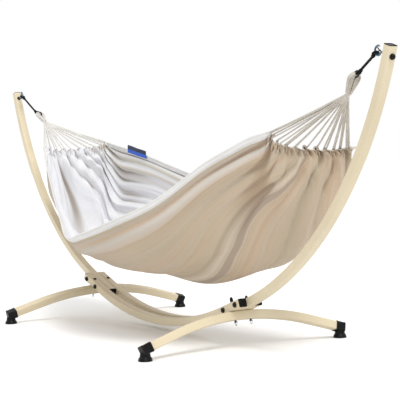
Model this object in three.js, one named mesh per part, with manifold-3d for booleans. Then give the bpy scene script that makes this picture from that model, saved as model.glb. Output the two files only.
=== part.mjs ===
// Hammock on a curved steel stand. Millimetres, +Z up, +X along the stand to its right-hand end and -Y
// towards the near side. The origin is on the ground, below the middle of the stand.
import * as THREE from 'three';
import { mergeVertices } from 'three/addons/utils/BufferGeometryUtils.js';
import Module from 'manifold-3d';

const wasm = await Module();
wasm.setup();

// ---------------------------------------------------------------------------------------------------------
// Driving dimensions
// ---------------------------------------------------------------------------------------------------------

const GAP = 0.3;                 // left between touching pieces
const OVERLAP = 1;               // how far united pieces run into each other
const TOLERANCE = 1e-3;

// Square steel tube, used for the whole stand.
const TUBE = 40;
const TUBE_WALL = 2;
const TUBE_EDGE = 3;             // chamfer that stands for the rounded edge

// The stand line is the centre line of the base rails and arms in the XZ plane. Distances along it are
// counted from the middle of the base: a shallow bend, a straight stretch at each joint and the arm's bend.
const RAIL_RADIUS = 2070;
const RAIL_ARC = 660;
const RAIL_HEIGHT = 57;
const RAIL_END = 834;
const ARM_START = 600;
const ARM_BEND = 800;
const ARM_RADIUS = 1685;
const ARM_END = 2374;
const RAIL_OFFSET = TUBE + 0.5;  // from the arm's middle to the middle of each base rail, along Y

// Joint between arm, rails and foot bar.
const FOOT_AT = 746;             // foot bar and its pins, along the stand line
const BOLT_SPREAD = 55;          // joint bolts, either side of the foot bar
const BOLT_RADIUS = 4;
const BOLT_HEAD_RADIUS = 13;
const BOLT_HEAD_HEIGHT = 12;
const NUT_RADIUS = 9;
const NUT_HEIGHT = 12;
const THREAD_IN_NUT = 7;

// Foot bar: an arch with straight ends, leaning with the rails.
const FOOT_RADIUS = 1185;
const FOOT_ARC = 360;
const FOOT_HALF = 548;

// Foot cap: a sleeve over the bar's end on a round flared pad.
const CAP_WALL = 3;
const CAP_LENGTH = 50;
const CAP_END = 4;
const PAD_RADIUS = 32;
const PAD_HEIGHT = 16;
const PAD_TAPER = 3;
const WEB_RADIUS = 25;
const WEB_TOP = 38;
const PAD_INSET = 16;            // pad's axis, in from the bar's end

// Foot pin, held by a wire clip below the foot bar. The right-hand pins have an upright tab to pull them by,
// and the left-hand ones only their flat head.
const PIN_RADIUS = 4;
const PIN_BELOW_BAR = 12;
const PIN_COLLAR = 9;
const PIN_COLLAR_HEIGHT = 4;
const TAB_WIDTH = 18;
const TAB_HEIGHT = 26;
const TAB_THICKNESS = 6;
const CLIP_WIRE = 1.2;
const CLIP_HALF = 9;
const CLIP_DROP = 20;

// Tube plugs.
const PLUG_DEPTH = 18;
const PLUG_PLATE = 3;
const PLUG_CLEARANCE = 0.6;
const PLUG_EDGE = 1;

// Hook bolt through the top of each arm: an upright ring, open at its top, with a spring latch across the
// opening. The rope hangs from the ring's inner side, and that point is the swing's pivot.
const HOOK_AT = 2335;
const HOOK_WIRE = 4;
const HOOK_RING = 18.5;
const HOOK_REACH = 48;
const HOOK_OPENING = 75;         // degrees of ring left open
const HOOK_PULL = 131;           // degrees round the ring from the shank to the pivot
const COLLAR_RADIUS = 11;
const COLLAR_HEIGHT = 4;
const COLLAR_BEVEL = 2;
const CAP_NUT_RADIUS = 12;
const CAP_NUT_HEIGHT = 14;
const LATCH_WIRE = 2;
const LATCH_KNUCKLE = 3;
const LATCH_KNUCKLE_HALF = 4;    // half of its length
const LATCH_HINGE = [2.5, -10.5];  // from the ring's centre: along the arm, then out of it
const LATCH_TIP = [9.8, 6.6];

// Points that the suspension runs through: the rope's lower eye, the carabiner's far end and the knot of
// the cords. The empty hammock hangs a little differently at its two ends.
const HANG = {
  left: { link: [-1600, 21, 1150], clipEnd: [-1546, 31, 1137], knot: [-1522, 37, 1097] },
  right: { link: [1623, 22, 1189], clipEnd: [1570, 30, 1179], knot: [1533, 37, 1112] },
};
const ROPE_RADIUS = 4;
const ROPE_UPPER_EYE = 14;
const ROPE_LOWER_EYE = 12;
const ROPE_EYE_WIRE = 3.5;
const ROPE_KNOT = 7.5;
const CARABINER_WIRE = 3.5;
const CARABINER_BEND = 11.5;
const CARABINER_SIDE = 15;       // half of its straight side
const GATE_HALF = 12;
const GATE_GAP = 1.2;            // room for the gate's ends to turn
const GATE_WIRE = 3;
const LOOP_START = 8;            // below the carabiner's middle
const LOOP_WIDTH = 31;           // half widths
const LOOP_NECK = 12;
const LOOP_PROFILE = [[0.66, 0], [1, 0.3], [0.76, 0.68]];  // shares of its width and length
const LOOP_CLEARANCE = 1;        // cut out of it round the carabiner
const LOOP_FLATNESS = 0.45;
const HUB_RADIUS = 11.5;
const FAN_CORDS = 12;
const FAN_CORD_RADIUS = 4;
const FAN_INSET = 0.015;         // first and last cord, from the cloth's corners
const FAN_CORD_SHORT = 9;        // from a cord's end to the cloth's edge

// Cloth.
const CLOTH_HALF = 1200;
const CLOTH_THICKNESS = 6;
const CLOTH_COLUMNS = 36;
const CLOTH_ROWS = 12;

// Label sewn to the far edge.
const LABEL = { width: 240, height: 43, thickness: 1.6, x: -728, above: 28, inside: 11 };

// Facets.
const ROUND = 14;
const SMALL_ROUND = 10;
const PAD_ROUND = 24;
const WIRE_ROUND = 8;
const THIN_ROUND = 6;
const FAN_ROUND = 5;
const DOME_STEPS = 4;
const TAB_STEPS = 5;
const RING_STEPS = 18;
const CARABINER_STEPS = 24;
const LOOP_STEPS = 7;
const ARM_STEPS = 32;
const RAIL_STEPS = 20;
const FOOT_STEPS = 14;

// ---------------------------------------------------------------------------------------------------------
// Materials
// ---------------------------------------------------------------------------------------------------------

const paintedSteel = new THREE.MeshStandardMaterial({ color: 0xd9ccb0, roughness: 0.45, metalness: 0.1 });
const blackPlastic = new THREE.MeshStandardMaterial({ color: 0x151515, roughness: 0.5, metalness: 0 });
const blackSteel = new THREE.MeshStandardMaterial({ color: 0x1c1d20, roughness: 0.35, metalness: 0.8 });
const brightSteel = new THREE.MeshStandardMaterial({ color: 0x9aa3ac, roughness: 0.3, metalness: 1 });
const blackRope = new THREE.MeshStandardMaterial({ color: 0x101010, roughness: 0.85, metalness: 0 });
const cottonCord = new THREE.MeshStandardMaterial({ color: 0xe6e2da, roughness: 0.95, metalness: 0 });
const cottonCloth = new THREE.MeshStandardMaterial({ color: 0xdcd3c4, roughness: 0.95, metalness: 0 });
const blueLabel = new THREE.MeshStandardMaterial({ color: 0x1a4fbf, roughness: 0.8, metalness: 0 });

// ---------------------------------------------------------------------------------------------------------
// Geometry helpers
// ---------------------------------------------------------------------------------------------------------

function toSolid(geometry) {
  const bare = geometry.index ? geometry.clone() : geometry;
  for (const name of ['normal', 'uv']) {
    bare.deleteAttribute(name);
  }
  const merged = mergeVertices(bare, TOLERANCE);
  return new wasm.Manifold(new wasm.Mesh({
    numProp: 3,
    vertProperties: new Float32Array(merged.attributes.position.array),
    triVerts: new Uint32Array(merged.index.array),
  }));
}

function toGeometry(solid) {
  const mesh = solid.getMesh();
  const geometry = new THREE.BufferGeometry();
  geometry.setAttribute('position', new THREE.BufferAttribute(mesh.vertProperties, mesh.numProp));
  geometry.setIndex(new THREE.BufferAttribute(mesh.triVerts, 1));
  return geometry;
}

function unite(geometries) {
  return geometries.map(toSolid).reduce((whole, part) => whole.add(part));
}

function cutAll(solid, geometries) {
  return geometries.map(toSolid).reduce((rest, tool) => rest.subtract(tool), solid);
}

function namedMesh(name, geometry, material) {
  const mesh = new THREE.Mesh(geometry, material);
  mesh.name = name;
  return mesh;
}

const at = (x, y = 0, z = 0) => new THREE.Vector3(x, y, z);

// A round bar between two points.
function bar(from, to, radius, sides = SMALL_ROUND) {
  const axis = new THREE.Vector3().subVectors(to, from);
  const geometry = new THREE.CylinderGeometry(radius, radius, axis.length(), sides);
  const turn = new THREE.Quaternion();
  turn.setFromUnitVectors(new THREE.Vector3(0, 1, 0), axis.clone().normalize());
  geometry.applyQuaternion(turn);
  const middle = new THREE.Vector3().addVectors(from, to).multiplyScalar(0.5);
  return geometry.translate(middle.x, middle.y, middle.z);
}

function ball(centre, radius, sides = ROUND) {
  return new THREE.SphereGeometry(radius, sides, sides / 2).translate(centre.x, centre.y, centre.z);
}

function box(centre, size) {
  return new THREE.BoxGeometry(size.x, size.y, size.z).translate(centre.x, centre.y, centre.z);
}

function roundSection(radius, sides) {
  const corners = [];
  for (let i = 0; i < sides; i += 1) {
    const angle = (2 * Math.PI * i) / sides;
    corners.push(new THREE.Vector2(radius * Math.cos(angle), radius * Math.sin(angle)));
  }
  return new THREE.Shape(corners);
}

function squareSection(side, edge) {
  const h = side / 2;
  const c = h - edge;
  const corners = [[h, -c], [h, c], [c, h], [-c, h], [-h, c], [-h, -c], [-c, -h], [c, -h]];
  return corners.map(([x, y]) => new THREE.Vector2(x, y));
}

// Square tube with open ends along a plane curve.
function squareTube(curve, steps) {
  const section = new THREE.Shape(squareSection(TUBE, TUBE_EDGE));
  const h = TUBE / 2 - TUBE_WALL;
  const inner = [[h, h], [-h, h], [-h, -h], [h, -h]].map(([x, y]) => new THREE.Vector2(x, y));
  section.holes.push(new THREE.Path(inner));
  return new THREE.ExtrudeGeometry(section, { steps, bevelEnabled: false, extrudePath: curve });
}

// A frame whose axes are along, side and the cross product of the two.
function frameMatrix(origin, along, side) {
  const third = new THREE.Vector3().crossVectors(along, side);
  return new THREE.Matrix4().makeBasis(along, side, third).setPosition(origin);
}

// ---------------------------------------------------------------------------------------------------------
// Stand line
// ---------------------------------------------------------------------------------------------------------

function standPoint(distance) {
  const s = Math.abs(distance);
  const end = Math.sign(distance);
  const railTurn = Math.min(s, RAIL_ARC) / RAIL_RADIUS;
  const straight = Math.min(Math.max(s - RAIL_ARC, 0), ARM_BEND - RAIL_ARC);
  const slope = railTurn + Math.max(s - ARM_BEND, 0) / ARM_RADIUS;
  let x = RAIL_RADIUS * Math.sin(railTurn) + straight * Math.cos(railTurn);
  let z = RAIL_HEIGHT + RAIL_RADIUS * (1 - Math.cos(railTurn)) + straight * Math.sin(railTurn);
  x += ARM_RADIUS * (Math.sin(slope) - Math.sin(railTurn));
  z += ARM_RADIUS * (Math.cos(railTurn) - Math.cos(slope));
  return { x: end * x, z, slope: end * slope };
}

class StandCurve extends THREE.Curve {
  constructor(from, to, y) {
    super();
    this.from = from;
    this.to = to;
    this.y = y;
  }

  getPoint(t, target = new THREE.Vector3()) {
    const point = standPoint(THREE.MathUtils.lerp(this.from, this.to, t));
    return target.set(point.x, this.y, point.z);
  }
}

// A frame on the stand line: local X runs along the line towards the right, local Z up out of the tube.
function station(distance, y = 0) {
  const point = standPoint(distance);
  const along = new THREE.Vector3(Math.cos(point.slope), 0, Math.sin(point.slope));
  return frameMatrix(new THREE.Vector3(point.x, y, point.z), along, new THREE.Vector3(0, 1, 0));
}

function placed(geometry, matrix) {
  return geometry.clone().applyMatrix4(matrix);
}

function stationGroup(distance, y = 0) {
  const group = new THREE.Group();
  group.applyMatrix4(station(distance, y));
  return group;
}

// ---------------------------------------------------------------------------------------------------------
// Stand tubes
// ---------------------------------------------------------------------------------------------------------

// Hole right through a tube along Y or along its local Z.
function crossHole(radius, axis) {
  const reach = 1.5 * TUBE;
  const end = axis === 'y' ? new THREE.Vector3(0, reach, 0) : new THREE.Vector3(0, 0, reach);
  return bar(end.clone().negate(), end, radius + GAP);
}

function jointBoltPlaces(side) {
  return [side * (FOOT_AT - BOLT_SPREAD), side * (FOOT_AT + BOLT_SPREAD)];
}

function armTube() {
  const tube = toSolid(squareTube(new StandCurve(ARM_START, ARM_END, 0), ARM_STEPS));
  const holes = jointBoltPlaces(1).map((at) => placed(crossHole(BOLT_RADIUS, 'y'), station(at)));
  holes.push(placed(crossHole(HOOK_WIRE, 'z'), station(HOOK_AT)));
  return toGeometry(cutAll(tube, holes));
}

function baseRail(y) {
  const rail = toSolid(squareTube(new StandCurve(-RAIL_END, RAIL_END, y), RAIL_STEPS));
  const holes = [];
  for (const side of [-1, 1]) {
    for (const at of jointBoltPlaces(side)) {
      holes.push(placed(crossHole(BOLT_RADIUS, 'y'), station(at, y)));
    }
    holes.push(placed(crossHole(PIN_RADIUS, 'z'), station(side * FOOT_AT, y)));
  }
  return toGeometry(cutAll(rail, holes));
}

// The foot bar's centre line in its own frame: Y along the bar, Z up, its top against the rails' underside.
const FOOT_DROP = TUBE + GAP;

function footPoint(distance) {
  const turn = Math.min(Math.abs(distance), FOOT_ARC) / FOOT_RADIUS;
  const straight = Math.max(Math.abs(distance) - FOOT_ARC, 0);
  const y = Math.sign(distance) * (FOOT_RADIUS * Math.sin(turn) + straight * Math.cos(turn));
  const z = -FOOT_DROP - FOOT_RADIUS * (1 - Math.cos(turn)) - straight * Math.sin(turn);
  return { y, z, turn: Math.sign(distance) * turn };
}

class FootCurve extends THREE.Curve {
  getPoint(t, target = new THREE.Vector3()) {
    const point = footPoint(THREE.MathUtils.lerp(-FOOT_HALF, FOOT_HALF, t));
    return target.set(0, point.y, point.z);
  }
}

function footBar() {
  const tube = toSolid(squareTube(new FootCurve(), FOOT_STEPS));
  const holes = [-RAIL_OFFSET, RAIL_OFFSET].map((y) => (
    crossHole(PIN_RADIUS, 'z').translate(0, y, -FOOT_DROP)
  ));
  return toGeometry(cutAll(tube, holes));
}

// ---------------------------------------------------------------------------------------------------------
// Plastic parts
// ---------------------------------------------------------------------------------------------------------

// Square prism along X from one place to another, with its long edges chamfered.
function prism(side, edge, from, to) {
  const section = new THREE.Shape(squareSection(side, edge));
  const solid = new THREE.ExtrudeGeometry(section, { depth: to - from, bevelEnabled: false });
  return solid.rotateY(Math.PI / 2).translate(from, 0, 0);
}

// Plug for a tube's end, in a frame whose X points out of the tube.
function tubePlug() {
  const inner = TUBE - 2 * (TUBE_WALL + PLUG_CLEARANCE);
  const plate = prism(TUBE, TUBE_EDGE, GAP, GAP + PLUG_PLATE);
  const stub = prism(inner, PLUG_EDGE, -PLUG_DEPTH, GAP + PLUG_PLATE / 2);
  return toGeometry(unite([plate, stub]));
}

// Foot cap of the right-hand foot bar in the row frame. side is -1 at the near end and 1 at the far end.
function footCap(side) {
  const frame = station(FOOT_AT);
  const point = footPoint(side * FOOT_HALF);
  const end = new THREE.Vector3(0, point.y, point.z).applyMatrix4(frame);
  const along = new THREE.Vector3();
  const up = new THREE.Vector3();
  frame.extractBasis(along, new THREE.Vector3(), up);
  const outward = new THREE.Vector3(0, side * Math.cos(point.turn), 0);
  outward.addScaledVector(up, -Math.abs(Math.sin(point.turn)));
  const barFrame = frameMatrix(end, along, outward.clone().multiplyScalar(side));

  const outer = TUBE + 2 * (CAP_WALL + GAP);
  const sleeve = box(
    new THREE.Vector3(0, side * (CAP_END - CAP_LENGTH / 2), 0),
    new THREE.Vector3(outer, CAP_LENGTH, outer),
  ).applyMatrix4(barFrame);
  const socket = TUBE + 2 * GAP;
  const cavity = box(
    new THREE.Vector3(0, side * (GAP - CAP_LENGTH), 0),
    new THREE.Vector3(socket, 2 * CAP_LENGTH, socket),
  ).applyMatrix4(barFrame);

  const foot = end.clone().addScaledVector(outward, -PAD_INSET);
  const rotate = (geometry, height) => geometry.rotateX(Math.PI / 2).translate(foot.x, foot.y, height);
  const [pad, web] = [[PAD_RADIUS, PAD_HEIGHT], [WEB_RADIUS, WEB_TOP]].map(([radius, height]) => (
    rotate(new THREE.CylinderGeometry(radius - PAD_TAPER, radius, height, PAD_ROUND), height / 2)
  ));
  return toGeometry(cutAll(unite([sleeve, pad, web]), [cavity]));
}

// ---------------------------------------------------------------------------------------------------------
// Fasteners. A lathe turns about Y, which is the joint bolts' own direction.
// ---------------------------------------------------------------------------------------------------------

const RAIL_FACE = RAIL_OFFSET + TUBE / 2;

function domeProfile(radius, height, base, sign) {
  const points = [];
  for (let i = 0; i <= DOME_STEPS; i += 1) {
    const angle = (Math.PI / 2) * (i / DOME_STEPS);
    points.push(new THREE.Vector2(radius * Math.cos(angle), base + sign * height * Math.sin(angle)));
  }
  points[DOME_STEPS].x = 0;
  return points;
}

function lathe(points, sides = ROUND) {
  return new THREE.LatheGeometry(points, sides);
}

// Joint bolt with its domed head against the near rail.
function jointBolt() {
  const head = -RAIL_FACE - GAP;
  const dome = domeProfile(BOLT_HEAD_RADIUS, BOLT_HEAD_HEIGHT, head, -1).reverse();
  const end = RAIL_FACE + THREAD_IN_NUT;
  return lathe([
    ...dome,
    new THREE.Vector2(BOLT_RADIUS, head),
    new THREE.Vector2(BOLT_RADIUS, end),
    new THREE.Vector2(0, end),
  ]);
}

// Closed nut: a blind bore from its flat face at the given height, and a domed end.
function capNut(radius, height, bore, depth) {
  const shoulder = height - radius / 2;
  return [
    new THREE.Vector2(0, depth + GAP),
    new THREE.Vector2(bore + GAP, depth + GAP),
    new THREE.Vector2(bore + GAP, GAP),
    new THREE.Vector2(radius, GAP),
    ...domeProfile(radius, radius / 2, shoulder, 1),
  ];
}

function jointNut() {
  return lathe(capNut(NUT_RADIUS, NUT_HEIGHT, BOLT_RADIUS, THREAD_IN_NUT)).translate(0, RAIL_FACE, 0);
}

const CLIP_HEIGHT = -FOOT_DROP - TUBE / 2 - PIN_BELOW_BAR / 2;

// Foot pin in the frame of its station on the rail. A tab stands across the rail.
function footPin(withTab) {
  const top = TUBE / 2 + GAP;
  const bottom = CLIP_HEIGHT - PIN_BELOW_BAR / 2;
  const collarTop = top + PIN_COLLAR_HEIGHT;
  const pieces = [
    bar(at(0, 0, bottom), at(0, 0, top + OVERLAP), PIN_RADIUS),
    bar(at(0, 0, top), at(0, 0, collarTop), PIN_COLLAR),
  ];
  if (withTab) {
    const half = TAB_WIDTH / 2;
    const bulge = 1.3 * half;      // control point that gives the tab its full width
    const outline = new THREE.Shape();
    outline.moveTo(-half / 2, 0);
    outline.lineTo(half / 2, 0);
    outline.quadraticCurveTo(bulge, TAB_HEIGHT / 2, 0, TAB_HEIGHT);
    outline.quadraticCurveTo(-bulge, TAB_HEIGHT / 2, -half / 2, 0);
    const settings = { depth: TAB_THICKNESS, bevelEnabled: false, curveSegments: TAB_STEPS };
    const tab = new THREE.ExtrudeGeometry(outline, settings);
    tab.rotateX(Math.PI / 2).translate(0, TAB_THICKNESS / 2, collarTop - PIN_COLLAR_HEIGHT / 2);
    pieces.push(tab.rotateZ(Math.PI / 2));
  }
  const eye = clipTurn(bar(at(-2 * PIN_RADIUS), at(2 * PIN_RADIUS), CLIP_WIRE + GAP, WIRE_ROUND), withTab);
  return toGeometry(cutAll(unite(pieces), [eye.translate(0, 0, CLIP_HEIGHT)]));
}

// A pin with a tab has its clip across the rail too.
function clipTurn(geometry, withTab) {
  return geometry.rotateZ(withTab ? Math.PI / 2 : 0);
}

// Wire clip through the pin's cross hole: a triangle that points down.
function pinClip(withTab) {
  const corners = [at(-CLIP_HALF), at(CLIP_HALF), at(0, 0, -CLIP_DROP)];
  const wires = corners.map((corner, i) => {
    const next = corners[(i + 1) % corners.length];
    const extra = new THREE.Vector3().subVectors(next, corner).setLength(CLIP_WIRE / 2);
    return bar(corner.clone().sub(extra), next.clone().add(extra), CLIP_WIRE, THIN_ROUND);
  });
  return clipTurn(toGeometry(unite(wires)), withTab).translate(0, 0, CLIP_HEIGHT);
}

// ---------------------------------------------------------------------------------------------------------
// Hook bolt, in the frame of its station on the arm: local Z points in, towards the hammock
// ---------------------------------------------------------------------------------------------------------

const ARM_FACE = TUBE / 2;
const RING_CENTRE = ARM_FACE + HOOK_REACH;

// Point on the ring, by the angle from the shank down round its inner side.
function ringPoint(degrees, target = new THREE.Vector3()) {
  const angle = THREE.MathUtils.degToRad(degrees);
  return target.set(-HOOK_RING * Math.sin(angle), 0, RING_CENTRE - HOOK_RING * Math.cos(angle));
}

class RingArc extends THREE.Curve {
  getPoint(t, target) {
    return ringPoint(t * (360 - HOOK_OPENING), target);
  }
}

function hookBolt() {
  const ring = new THREE.ExtrudeGeometry(roundSection(HOOK_WIRE, WIRE_ROUND), {
    steps: RING_STEPS,
    bevelEnabled: false,
    extrudePath: new RingArc(),
  });
  const tail = new THREE.Vector3(0, 0, -ARM_FACE - THREAD_IN_NUT);
  const shank = bar(tail, ringPoint(0).add(new THREE.Vector3(0, 0, HOOK_WIRE / 2)), HOOK_WIRE);
  return toGeometry(unite([ring, shank]));
}

function hookLatch() {
  const [hinge, tip] = [LATCH_HINGE, LATCH_TIP].map(([x, z]) => new THREE.Vector3(x, 0, RING_CENTRE + z));
  const across = new THREE.Vector3(0, LATCH_KNUCKLE_HALF, 0);
  const knuckle = bar(hinge.clone().sub(across), hinge.clone().add(across), LATCH_KNUCKLE);
  return toGeometry(unite([knuckle, bar(hinge, tip, LATCH_WIRE, WIRE_ROUND)]));
}

// Lock collar on the arm's inner face.
function hookCollar() {
  const bore = HOOK_WIRE + GAP;
  const outline = [
    new THREE.Vector2(bore, GAP),
    new THREE.Vector2(COLLAR_RADIUS, GAP),
    new THREE.Vector2(COLLAR_RADIUS - COLLAR_BEVEL, COLLAR_HEIGHT),
    new THREE.Vector2(bore, COLLAR_HEIGHT),
    new THREE.Vector2(bore, GAP),
  ];
  return lathe(outline).rotateX(Math.PI / 2).translate(0, 0, ARM_FACE);
}

function hookNut() {
  const outline = capNut(CAP_NUT_RADIUS, CAP_NUT_HEIGHT, HOOK_WIRE, THREAD_IN_NUT);
  return lathe(outline).rotateX(-Math.PI / 2).translate(0, 0, -ARM_FACE);
}

// ---------------------------------------------------------------------------------------------------------
// Suspension
// ---------------------------------------------------------------------------------------------------------

const point3 = ([x, y, z]) => new THREE.Vector3(x, y, z);

// Frame whose local X runs from one point to another and whose local Y is level.
function runFrame(from, to) {
  const along = new THREE.Vector3().subVectors(to, from).normalize();
  const level = new THREE.Vector3(-along.y, along.x, 0).normalize();
  if (level.y < 0) {
    level.negate();
  }
  return frameMatrix(from, along, level);
}

// An eye of rope round a wire that runs across local X and Y.
function ropeEye(x, radius) {
  return new THREE.TorusGeometry(radius, ROPE_EYE_WIRE, THIN_ROUND, SMALL_ROUND + 2).translate(x, 0, 0);
}

function ropeLink(length) {
  const knots = [ROPE_UPPER_EYE + ROPE_RADIUS, length - ROPE_LOWER_EYE - ROPE_RADIUS];
  return toGeometry(unite([
    ropeEye(0, ROPE_UPPER_EYE),
    ropeEye(length, ROPE_LOWER_EYE),
    bar(at(knots[0]), at(knots[1]), ROPE_RADIUS, WIRE_ROUND),
    ...knots.map((x) => ball(at(x), ROPE_KNOT, SMALL_ROUND)),
  ]));
}

// Oval carabiner in the local XZ plane, its first end at the origin and its gate on one long side.
class CarabinerCurve extends THREE.Curve {
  constructor(gateSide) {
    super();
    this.gateSide = gateSide;
  }

  getPoint(t, target = new THREE.Vector3()) {
    const stub = GATE_HALF + GATE_GAP;
    const arc = Math.PI * CARABINER_BEND;
    const lead = CARABINER_SIDE - stub;
    const lengths = [lead, arc, 2 * CARABINER_SIDE, arc, lead];
    let left = t * lengths.reduce((a, b) => a + b);
    let index = 0;
    while (index < lengths.length - 1 && left > lengths[index]) {
      left -= lengths[index];
      index += 1;
    }
    const turn = left / CARABINER_BEND;
    const places = [
      [stub + left, 1],
      [CARABINER_SIDE + CARABINER_BEND * Math.sin(turn), Math.cos(turn)],
      [CARABINER_SIDE - left, -1],
      [-CARABINER_SIDE - CARABINER_BEND * Math.sin(turn), -Math.cos(turn)],
      [-CARABINER_SIDE + left, 1],
    ];
    const [along, across] = places[index];
    const middle = CARABINER_SIDE + CARABINER_BEND;
    return target.set(middle + along, 0, this.gateSide * CARABINER_BEND * across);
  }
}

function carabinerBody(gateSide, radius = CARABINER_WIRE) {
  return new THREE.ExtrudeGeometry(roundSection(radius, WIRE_ROUND), {
    steps: CARABINER_STEPS,
    bevelEnabled: false,
    extrudePath: new CarabinerCurve(gateSide),
  });
}

function carabinerGate(gateSide) {
  const middle = CARABINER_SIDE + CARABINER_BEND;
  const height = gateSide * CARABINER_BEND;
  return bar(at(middle - GATE_HALF, 0, height), at(middle + GATE_HALF, 0, height), GATE_WIRE, WIRE_ROUND);
}

// Wrapped loop of cords: a flat teardrop that hangs over the carabiner and narrows to the knot.
function cordLoop(length) {
  const outline = new THREE.SplineCurve([
    ...LOOP_PROFILE.map(([wide, down]) => new THREE.Vector2(wide * LOOP_WIDTH, down * length)),
    new THREE.Vector2(LOOP_NECK, length),
  ]).getPoints(LOOP_STEPS);
  const profile = [new THREE.Vector2(0, 0), ...outline, new THREE.Vector2(0, length)];
  return lathe(profile).rotateZ(-Math.PI / 2).scale(1, 1, LOOP_FLATNESS);
}

// Frames of one end's rope, carabiner and cord loop, with the two lengths that follow from them.
function suspension(name, side) {
  const hang = HANG[name];
  const [link, clipEnd, knot] = [hang.link, hang.clipEnd, hang.knot].map(point3);
  const pivot = ringPoint(HOOK_PULL).applyMatrix4(station(HOOK_AT));
  pivot.x *= side;
  const clip = runFrame(link, clipEnd);
  const clipMiddle = at(CARABINER_SIDE + CARABINER_BEND).applyMatrix4(clip);
  const hangingLoop = runFrame(clipMiddle, knot);
  const loopStart = at(LOOP_START).applyMatrix4(hangingLoop);
  return {
    rope: runFrame(pivot, link),
    ropeLength: pivot.distanceTo(link),
    clip,
    gateSide: -Math.sign(side),
    loop: runFrame(loopStart, knot),
    loopLength: loopStart.distanceTo(knot) - HUB_RADIUS - GAP,
    knot,
  };
}

// ---------------------------------------------------------------------------------------------------------
// Cloth. Rows run along the hammock, from the near edge over the belly to the far edge.
// ---------------------------------------------------------------------------------------------------------

const nearEdge = new THREE.CatmullRomCurve3([
  [-1200, -115, 932], [-840, -240, 770], [-440, -360, 560], [-200, -435, 484], [60, -472, 518],
  [340, -445, 588], [600, -352, 687], [830, -240, 839], [970, -190, 903],
  [1090, -152, 950], [1200, -128, 973],
].map(point3));

const farEdge = new THREE.CatmullRomCurve3([
  [-1200, 282, 960], [-900, 264, 919], [-600, 251, 872], [-300, 240, 815], [0, 230, 768], [300, 236, 762],
  [600, 250, 800], [1200, 282, 900],
].map(point3));

// Lowest line of the belly: x and height.
const belly = new THREE.SplineCurve([
  [-1200, 926], [-1110, 672], [-985, 430], [-800, 392], [-450, 388], [0, 328],
  [450, 288], [800, 362], [1000, 462], [1115, 590], [1170, 730], [1200, 892],
].map(([x, z]) => new THREE.Vector2(x, z)));

// How far the walls lean: in from the near edge and out from the far edge, most in the middle.
const NEAR_LEAN = 155;
const FAR_LEAN = 85;

// The far wall also bulges out where the belly rises to each end.
const LEFT_BULGE = 80;
const RIGHT_BULGE = 430;
const BULGE_RISE = 0.3;
const BULGE_FALL = 2;

function curveAt(curve, x) {
  let low = 0;
  let high = 1;
  while (high - low > 2 ** -24) {
    const middle = (low + high) / 2;
    if (curve.getPoint(middle).x < x) {
      low = middle;
    } else {
      high = middle;
    }
  }
  return curve.getPoint((low + high) / 2);
}

// Sections are close together near the steep ends.
function clothX(u) {
  return CLOTH_HALF * Math.sin((Math.PI / 2) * (2 * u - 1));
}

function clothPoint(u, v) {
  const x = THREE.MathUtils.clamp(clothX(u), -CLOTH_HALF + TOLERANCE, CLOTH_HALF - TOLERANCE);
  const near = curveAt(nearEdge, x);
  const far = curveAt(farEdge, x);
  const low = curveAt(belly, x).y;
  const middleness = Math.cos((Math.PI / 2) * (x / CLOTH_HALF));
  // The middle of the curve is an eighth of each end and three eighths of each control point.
  const pull = (low - (near.z + far.z) / 8) * (4 / 3);
  const nearWall = new THREE.Vector3(x, near.y + NEAR_LEAN * middleness, pull);
  const most = x > 0 ? RIGHT_BULGE : LEFT_BULGE;
  const bulge = most * middleness ** BULGE_RISE * (1 - middleness) ** BULGE_FALL;
  const farWall = new THREE.Vector3(x, far.y + FAR_LEAN * middleness + bulge, pull);
  near.x = x;
  far.x = x;
  return new THREE.CubicBezierCurve3(near, nearWall, farWall, far).getPoint(v);
}

// Closed solid of even thickness over a grid of surface points.
function sheetSolid(pointAt, columns, rows, thickness) {
  const positions = [];
  const step = 1e-3;
  for (const side of [1, -1]) {
    for (let i = 0; i <= columns; i += 1) {
      for (let j = 0; j <= rows; j += 1) {
        const u = i / columns;
        const v = j / rows;
        const alongU = pointAt(Math.min(u + step, 1), v).sub(pointAt(Math.max(u - step, 0), v));
        const alongV = pointAt(u, Math.min(v + step, 1)).sub(pointAt(u, Math.max(v - step, 0)));
        const normal = alongU.cross(alongV).normalize();
        const point = pointAt(u, v).addScaledVector(normal, (side * thickness) / 2);
        positions.push(point.x, point.y, point.z);
      }
    }
  }
  const layer = (columns + 1) * (rows + 1);
  const vertex = (i, j, side) => side * layer + i * (rows + 1) + j;
  const faces = [];
  const quad = (a, b, c, d) => faces.push(a, b, c, a, c, d);
  for (let i = 0; i < columns; i += 1) {
    for (let j = 0; j < rows; j += 1) {
      quad(vertex(i, j, 0), vertex(i + 1, j, 0), vertex(i + 1, j + 1, 0), vertex(i, j + 1, 0));
      quad(vertex(i, j, 1), vertex(i, j + 1, 1), vertex(i + 1, j + 1, 1), vertex(i + 1, j, 1));
    }
  }
  for (let i = 0; i < columns; i += 1) {
    quad(vertex(i, 0, 0), vertex(i, 0, 1), vertex(i + 1, 0, 1), vertex(i + 1, 0, 0));
    quad(vertex(i, rows, 0), vertex(i + 1, rows, 0), vertex(i + 1, rows, 1), vertex(i, rows, 1));
  }
  for (let j = 0; j < rows; j += 1) {
    quad(vertex(0, j, 0), vertex(0, j + 1, 0), vertex(0, j + 1, 1), vertex(0, j, 1));
    quad(vertex(columns, j, 0), vertex(columns, j, 1), vertex(columns, j + 1, 1), vertex(columns, j + 1, 0));
  }
  const geometry = new THREE.BufferGeometry();
  geometry.setAttribute('position', new THREE.Float32BufferAttribute(positions, 3));
  geometry.setIndex(faces);
  return geometry;
}

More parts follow.
